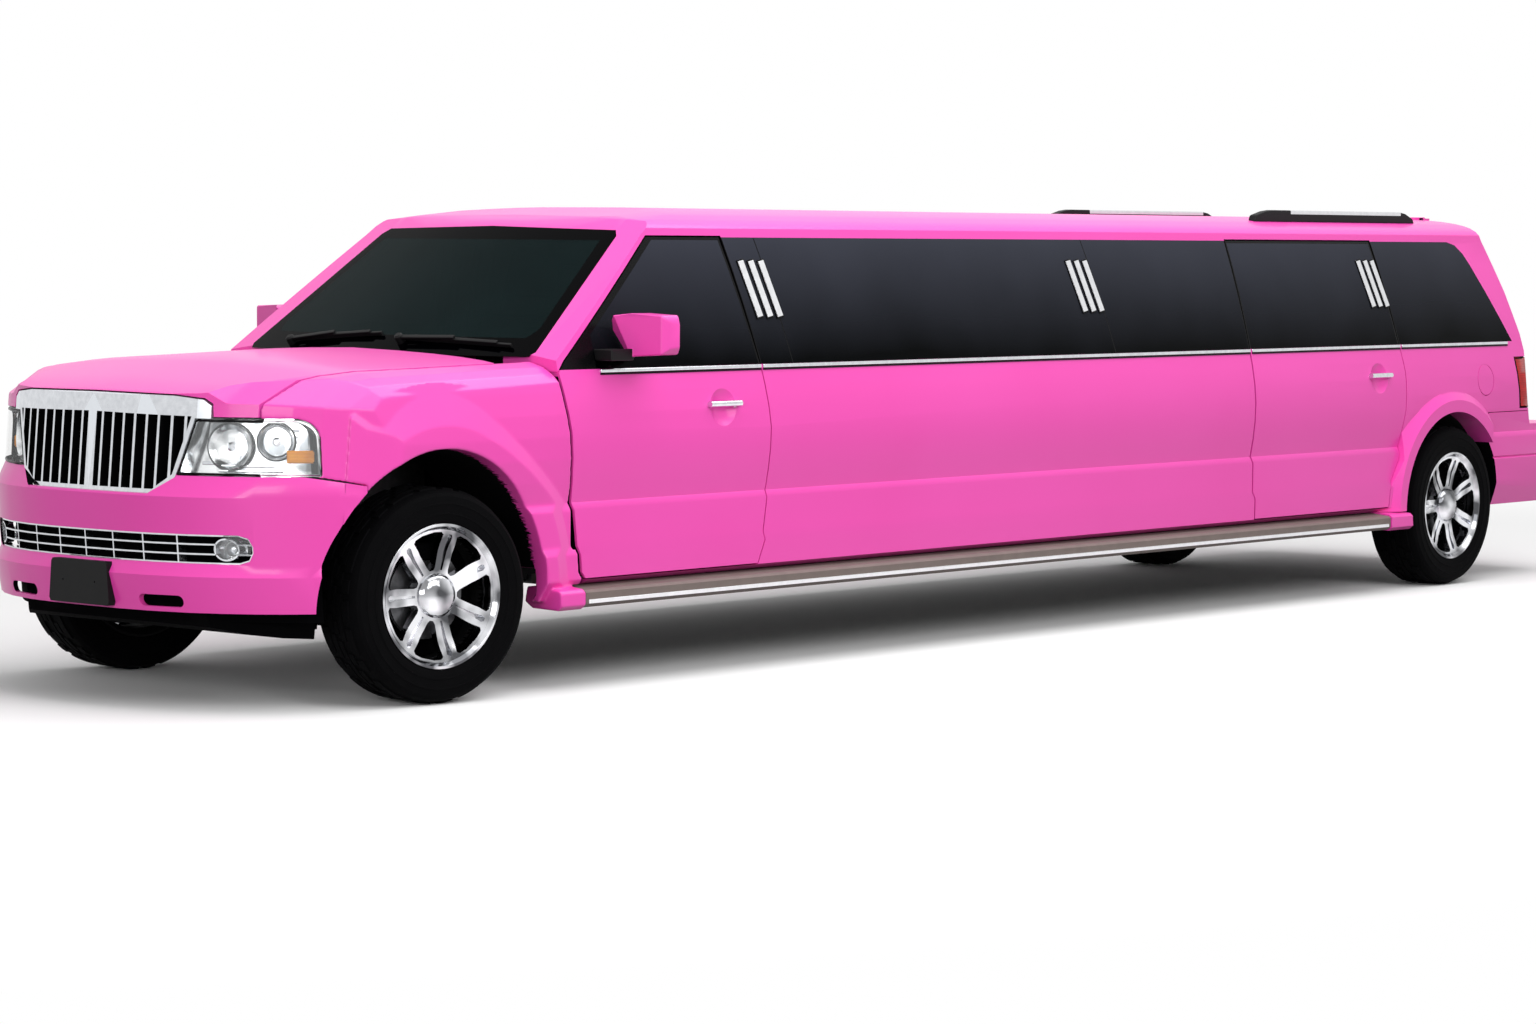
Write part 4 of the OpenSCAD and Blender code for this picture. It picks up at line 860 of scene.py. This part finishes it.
# wipers at the foot of the windscreen: [pivot y, blade middle y, blade length]
wiper = {"tilt": 35.6, "footD": 0.575, "footZ": 1.307, "bladeUp": 0.06, "bladeRise": 0.012, "rootUp": 0.035,
         "rootLift": 0.026}
screenPlan = [[0, 0], [0.2, 0.004], [0.4, 0.016], [0.6, 0.034], [0.8, 0.056]]  # fall beside its middle
wipers = ((0.12, 0.40, 0.56), (-0.52, -0.27, 0.52))


def screenAt(y, up):  # a point on the glass, measured up from its foot
    t = math.radians(wiper["tilt"])
    fall = lerpRows(abs(y), screenPlan)
    n = Vector((math.sin(t), 0, math.cos(t)))
    foot = Vector((fa(wiper["footD"]), y, wiper["footZ"]))
    return foot + Vector((-math.cos(t), 0, math.sin(t))) * up - n * fall


def addRod(name, start, end, width, height, edge, up):  # block from one point to another, lying on the glass
    run = Vector(end) - Vector(start)
    rod = addBlock(name, (run.length, width, height), edge)
    x = run.normalized()
    y = up.cross(x).normalized()
    turn = Matrix((x, y, x.cross(y))).transposed()
    return settle(rod, (Vector(start) + Vector(end)) / 2, turn)


def addWipers():
    t = math.radians(wiper["tilt"])
    lift = Vector((math.sin(t), 0, math.cos(t)))
    for i, (pivot, middle, length) in enumerate(wipers):
        rows = [(middle + way * length / 2, wiper["bladeUp"] + wiper["bladeRise"] * way) for way in (-1, 1)]
        ends = [screenAt(y, up) + lift * 0.012 for y, up in rows]
        blade = addRod("blade", ends[0], ends[1], 0.012, 0.016, 0.003, lift)
        inner = [ends[0].lerp(ends[1], k) + lift * 0.012 for k in (0.12, 0.88)]
        spine = addRod("spine", inner[0], inner[1], 0.018, 0.008, 0.003, lift)
        root = screenAt(pivot, wiper["rootUp"]) + lift * wiper["rootLift"]
        arm = addRod("arm", root, ends[0].lerp(ends[1], 0.5) + lift * 0.022, 0.02, 0.01, 0.003, lift)
        cap = addLathe("cap", [(0.018, -wiper["rootLift"]), (0.018, 0.006), (0.012, 0.012)], 24)
        settle(cap, root, faceAlong(lift))
        piece = joinAll("wiper%d" % (i + 1), [blade, spine, arm, cap])
        finishPiece(piece, carBody, [blackTrim])


addWipers()
print("wipers added")

# back of the car: bright bar, high lamp, rear wiper, reflectors and step pad
back = {"bar": (0.78, 0.042), "barZ": 1.125, "highLamp": (0.44, 0.02), "highZ": 1.79,
        "reflector": (0.13, 0.034), "reflectorAt": (0.64, 0.585), "pad": (0.075, 1.16), "padRibs": 41}
backWiper = {"pivot": (0.0, 1.312), "ends": ((-0.06, 1.335), (0.40, 1.352))}


def behindCar(obj, y, z):  # where a line from behind meets a piece
    bpy.context.view_layer.update()
    hit, place, normal, index = obj.ray_cast((-7.0, y, z), (1, 0, 0))
    return place, normal


def onBack(block, obj, y, z, proud):  # lays a block's +Z on the surface, its +X along the car's width
    place, normal = behindCar(obj, y, z)
    side = Vector((0, 0, 1)).cross(normal).normalized()
    turn = Matrix((side, normal.cross(side), normal)).transposed()
    return settle(block, place + normal * proud, turn)


def pressIn(block, thickness, depth):  # sunk panel in a block's front
    pickFaces(block, lambda c, n: n.z > 0.9)
    bpy.ops.mesh.inset(thickness=thickness)
    bpy.ops.mesh.inset(thickness=0.001, depth=depth)
    endEdit()


def addGatePieces():
    gate = nodeBody["liftgate"]
    bar = addBlock("gateBar", (*back["bar"], 0.036), 0.010, 4)
    pressIn(bar, 0.010, 0.003)
    onBack(bar, gatePanel, 0, back["barZ"], 0.004)
    finishPiece(bar, gate, [chrome])
    lamp = addBlock("highLamp", (*back["highLamp"], 0.014), 0.004)
    pressIn(lamp, 0.003, -0.001)
    onBack(lamp, gatePanel, 0, back["highZ"], 0.003)
    finishPiece(lamp, gate, [redLens])
    root, up = behindCar(gateGlass, *backWiper["pivot"])
    ends = [behindCar(gateGlass, y, z)[0] for y, z in backWiper["ends"]]
    blade = addRod("blade", ends[0] + up * 0.010, ends[1] + up * 0.010, 0.012, 0.016, 0.003, up)
    arm = addRod("arm", root + up * 0.022, ends[0].lerp(ends[1], 0.55) + up * 0.022, 0.02, 0.01, 0.003, up)
    cap = settle(addLathe("cap", [(0.026, -0.002), (0.026, 0.024), (0.018, 0.032)], 28), root, faceAlong(up))
    piece = joinAll("rearWiper", [blade, arm, cap])
    finishPiece(piece, gate, [blackTrim])


def addBumperPieces():
    y, z = back["reflectorAt"]
    block = addBlock("reflector", (*back["reflector"], 0.012), 0.004, 3)
    pressIn(block, 0.004, -0.001)
    onBack(block, backBumper, y, z, 0.003)
    bothSides(block, "rearReflector", (carBody, carBody), [redLens])
    depth, width = back["pad"]
    edge = behindCar(backBumper, 0, 0.70)[0].x + 0.035
    hit, top, normal, index = backBumper.ray_cast((edge + depth / 2, 0, 1.6), (0, 0, -1))
    parts = [addBlock("pad", (depth + 0.02, width, 0.010), 0.004, 3)]
    count = back["padRibs"]
    for i in range(count):
        rib = addBlock("rib", (depth, 0.012, 0.004), 0.001)
        parts.append(settle(rib, (0, (i - (count - 1) / 2) * width / (count + 1), 0.005)))
    pad = joinAll("stepPad", parts)
    settle(pad, top + Vector((0, 0, 0.002)))
    finishPiece(pad, carBody, [blackTrim])


addGatePieces()
addBumperPieces()
print("back furnished")

# tyres: bead, sidewall with two raised rings, grooved tread; heights along the axle from the middle
tyre = {"sides": 96, "ringRows": 5, "treadR": wheelR - 0.007, "bead": (0.254, 0.116),
        "blockRim": 0.0015, "blockHeight": 0.0065}
sidewall = ((0.2725, 0.116), (0.2765, 0.1285), (0.298, 0.1345), (0.306, 0.1355), (0.3075, 0.1375),
            (0.312, 0.1375), (0.3135, 0.136), (0.344, 0.1375), (0.3455, 0.139), (0.349, 0.139),
            (0.3505, 0.137), (0.375, 0.1335), (0.388, 0.124), (0.396, 0.108))
treadRows = (-0.092, -0.052, -0.046, -0.018, -0.012, 0.012, 0.018, 0.046, 0.052, 0.092)


def addTyre(wheel):
    middle, out = wheelPlace(wheel)
    r, half = tyre["bead"]
    inner = [(r, half), (r, -half)]
    profile = inner + [(r, -h) for r, h in sidewall] + [(tyre["treadR"], h) for h in treadRows]
    profile += [(r, h) for r, h in reversed(sidewall)] + [inner[0]]
    obj = addLathe("tread", profile, tyre["sides"], True)
    step = 2 * math.pi / tyre["sides"]

    def block(c, n):  # broad tread bands, left out where a cross groove runs
        if math.hypot(c.x, c.y) < tyre["treadR"] - 0.002:
            return False
        rows = [k for k in range(tyre["ringRows"]) if treadRows[2 * k] < c.z < treadRows[2 * k + 1]]
        return bool(rows) and int(math.atan2(c.y, c.x) / step + 400.5) % 4 != rows[0] % 4

    pickFaces(obj, block)
    bpy.ops.mesh.inset(thickness=tyre["blockRim"], depth=tyre["blockHeight"], use_individual=False)
    endEdit()
    settle(obj, middle, faceAlong(out))
    node = wheel.replace("wheel", "tyre")
    obj.name = node + "_shown"
    finishPiece(obj, wheel, [rubber], angle=24.0)
    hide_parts(node)


# brake disc on each wheel, with a near-black shield and caliper on what carries the wheel; the shield is a
# real part, and its large size and near black also paint the shade inside the wheel
brake = {"r": 0.168, "hub": 0.0705, "shield": 0.226}


def addBrake(wheel):
    middle, out = wheelPlace(wheel)
    r, hub, s = brake["r"], brake["hub"], brake["shield"]
    disc = addLathe("disc", [(hub, 0.043), (hub + 0.012, 0.043), (hub + 0.016, 0.038), (hub + 0.016, 0.024),
                             (r, 0.024), (r + 0.001, 0.021), (r, 0.018), (r - 0.012, 0.014), (r, 0.010),
                             (r, 0.004), (hub, 0.004), (hub, 0.043)], 56, True)
    disc.name = wheel + "_disc"
    settle(disc, middle, faceAlong(out))
    finishPiece(disc, wheel, [castMetal])
    carrier = "steer_" + wheel.split("_")[2] if "front" in wheel else carBody
    shield = addLathe("shield", [(0.078, -0.012), (s - 0.02, -0.012), (s - 0.004, -0.006), (s, 0.004),
                                 (s + 0.002, 0.004), (s, -0.010), (s - 0.018, -0.016), (0.078, -0.016),
                                 (0.078, -0.012)], 56, True)
    caliper = addBlock("caliper", (0.15, 0.066, 0.05), 0.012, 3)
    pickFaces(caliper, lambda c, n: n.z > 0.9)
    bpy.ops.mesh.inset(thickness=0.012, depth=-0.004)
    endEdit()
    settle(caliper, (0, r - 0.006, 0.014))
    piece = joinAll(wheel + "_brake", [shield, caliper])
    settle(piece, middle, faceAlong(out))
    finishPiece(piece, carrier, [deepBlack])


for wheel in wheelJoint:
    addTyre(wheel)
    addBrake(wheel)
print("wheels furnished")

# padded seats: crowned cushions in rows of [middle, size, lean in degrees about y]
frontSeatRows = (((2.20, 0.37, 0.865), (0.54, 0.50, 0.16), -4.0),
                 ((1.985, 0.37, 1.13), (0.14, 0.48, 0.56), -9.0),
                 ((1.925, 0.37, 1.415), (0.11, 0.26, 0.15), -9.0))
frontSeatFrames = (("base", (0.46, 0.42, 0.2), 0.02, (2.19, 0.37, 0.68)),  # [name, size, edge, middle]
                   ("post", (0.03, 0.14, 0.12), 0.006, (1.945, 0.37, 1.35)))


def addCushion(middle, size, lean=0.0, crown=0.016):
    pad = addBlock("pad", size, min(size) * 0.22, 2)
    big = max(range(3), key=lambda i: -size[i])  # the crowned faces look along the thinnest side
    pickFaces(pad, lambda c, n: abs(n[big]) > 0.9)
    bpy.ops.mesh.inset(thickness=min(size) * 0.3, use_individual=True)
    bpy.ops.transform.shrink_fatten(value=crown)
    endEdit()
    modify(pad, "SUBSURF", levels=2, render_levels=2)
    return settle(pad, middle, (0, math.radians(lean), 0))


def addFrontSeats():
    parts = []
    for way in (1, -1):
        for (x, y, z), size, lean in frontSeatRows:
            parts.append(addCushion((x, y * way, z), size, lean))
        for name, size, edge, (x, y, z) in frontSeatFrames:
            parts.append(settle(addBlock(name, size, edge), (x, y * way, z)))
    seats = joinAll("frontSeatPads", parts)
    finishPiece(seats, carBody, [seatLeather], angle=45.0)
    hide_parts("front_seats")


# lounge: a bench along the right side and one across the back, in single cushions
lounge = {"front": 0.895, "rear": -3.0, "count": 6, "seatY": -0.55, "backY": -0.70, "seatZ": 0.815,
          "plinthZ": 0.665, "plinthHeight": 0.17, "gap": 0.01}
rearBench = {"seatX": -3.27, "backX": -3.55, "y": 0.28, "width": 0.54}


def addLounge():
    parts = []
    step = (lounge["front"] - lounge["rear"]) / lounge["count"]
    for i in range(lounge["count"]):
        x = lounge["rear"] + (i + 0.5) * step
        width = step - lounge["gap"]
        parts.append(addCushion((x, lounge["seatY"], lounge["seatZ"]), (width, 0.42, 0.14)))
        parts.append(addCushion((x, lounge["backY"], 1.03), (width, 0.13, 0.30)))
    plinth = addBlock("plinth", (lounge["front"] - lounge["rear"], 0.40, lounge["plinthHeight"]), 0.01)
    middle = (lounge["front"] + lounge["rear"]) / 2
    parts.append(settle(plinth, (middle, lounge["seatY"], lounge["plinthZ"])))
    for y in (-rearBench["y"], rearBench["y"]):
        seat = (rearBench["seatX"], y, lounge["seatZ"])
        parts.append(addCushion(seat, (0.50, rearBench["width"], 0.14)))
        parts.append(addCushion((rearBench["backX"], y, 1.13), (0.13, rearBench["width"], 0.52), -9.0))
    plinth = addBlock("rearPlinth", (0.5, 1.1, lounge["plinthHeight"]), 0.01)
    parts.append(settle(plinth, (rearBench["seatX"], 0, lounge["plinthZ"])))
    seats = joinAll("loungePads", parts)
    finishPiece(seats, carBody, [seatLeather], angle=45.0)
    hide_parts("lounge_seats")


addFrontSeats()
addLounge()
print("seats padded")

# camera at the photograph's view
view = {"focal": 94.52, "place": (10.731, 11.555, 1.764), "yaw": 220.04, "pitch": -3.94, "roll": 0.44}


def placeCamera():
    yaw, pitch, roll = (math.radians(view[k]) for k in ("yaw", "pitch", "roll"))
    ahead = Vector((math.cos(pitch) * math.cos(yaw), math.cos(pitch) * math.sin(yaw), math.sin(pitch)))
    right = ahead.cross(Vector((0, 0, 1))).normalized()
    up = right.cross(ahead)
    tiltRight = right * math.cos(roll) + up * math.sin(roll)
    tiltUp = up * math.cos(roll) - right * math.sin(roll)
    data = bpy.data.cameras.new("photoView")
    data.lens = view["focal"]
    data.sensor_width = 36.0
    data.clip_end = 200.0
    cam = bpy.data.objects.new("photoView", data)
    scene.collection.objects.link(cam)
    x, y, z = view["place"]
    cam.matrix_world = Matrix((tiltRight, tiltUp, -ahead)).transposed().to_4x4()
    cam.location = (frontAxleX + x, y, z)
    scene.camera = cam


placeCamera()

# pale floor that turns white away from the car, white surroundings and soft lamps
studio = {"floor": 120.0, "whiteFrom": 3.4, "whiteBy": 7.0, "squash": 0.42, "sky": 0.42}
softLamps = (("overheadSoft", (0, 2, 8), (0, 0, 0.5), (12, 8), 790.0),  # [name, place, aim, size, power]
             ("sideSoft", (3, 10.5, 6.5), (-0.6, 0, 0.9), (10, 5), 640.0),
             ("frontSoft", (13, 5, 3.2), (4, 0, 0.7), (6, 3), 420.0))


def paleFloor():
    bpy.ops.object.select_all(action="DESELECT")
    bpy.ops.mesh.primitive_plane_add(size=studio["floor"], location=(0, 0, -0.002))
    floor = bpy.context.object
    floor.name = "studioFloor"
    f = Finish("studioFloorWhite")
    rays = [f.node("ShaderNodeLightPath", out=k) for k in (0, 3, 6)]  # camera, glossy, transmission
    shown = (rays[0] + rays[1] + rays[2]).clamp()
    pale = f.blend(f.noise(0.5), tone(240, 240, 240), tone(246, 246, 246))
    f.set(Base_Color=f.blend(shown, tone(104, 104, 104), pale), Roughness=0.9)
    x, y, z = f.axes()
    away = (x * x * studio["squash"] + y * y).root()
    fade = ((away - studio["whiteFrom"]) * (1 / (studio["whiteBy"] - studio["whiteFrom"]))).clamp()
    glow = f.node("ShaderNodeEmission", None, {"Color": (1, 1, 1, 1), "Strength": 1.0})
    lit = Sock(f.tree, f.shader.outputs[0])
    mix = f.node("ShaderNodeMixShader", None, {0: fade * shown, 1: lit, 2: glow})
    f.tree.links.new(mix.socket, f.tree.nodes["Material Output"].inputs["Surface"])
    floor.data.materials.append(f.mat)


def whiteWorld():
    world = bpy.data.worlds.new("studioWorld")
    scene.world = world
    world.use_nodes = True
    tree = world.node_tree
    tree.nodes.clear()
    rays = tree.nodes.new("ShaderNodeLightPath")
    seen = Sock(tree, rays.outputs["Is Camera Ray"]) + Sock(tree, rays.outputs["Is Glossy Ray"])
    seen = (seen + Sock(tree, rays.outputs["Is Transmission Ray"])).clamp()
    back = tree.nodes.new("ShaderNodeBackground")
    tree.links.new((seen * (1.0 - studio["sky"]) + studio["sky"]).socket, back.inputs["Strength"])
    out = tree.nodes.new("ShaderNodeOutputWorld")
    tree.links.new(back.outputs[0], out.inputs["Surface"])
    back.inputs["Color"].default_value = (1, 1, 1, 1)


def softLamp(name, place, aim, size, power):
    data = bpy.data.lights.new(name, "AREA")
    data.shape = "RECTANGLE"
    data.size, data.size_y = size
    data.energy = power
    lamp = bpy.data.objects.new(name, data)
    lamp.location = place
    lamp.rotation_euler = (Vector(aim) - Vector(place)).to_track_quat("-Z", "Y").to_euler()
    scene.collection.objects.link(lamp)


paleFloor()
whiteWorld()
for row in softLamps:
    softLamp(*row)
print("studio ready")
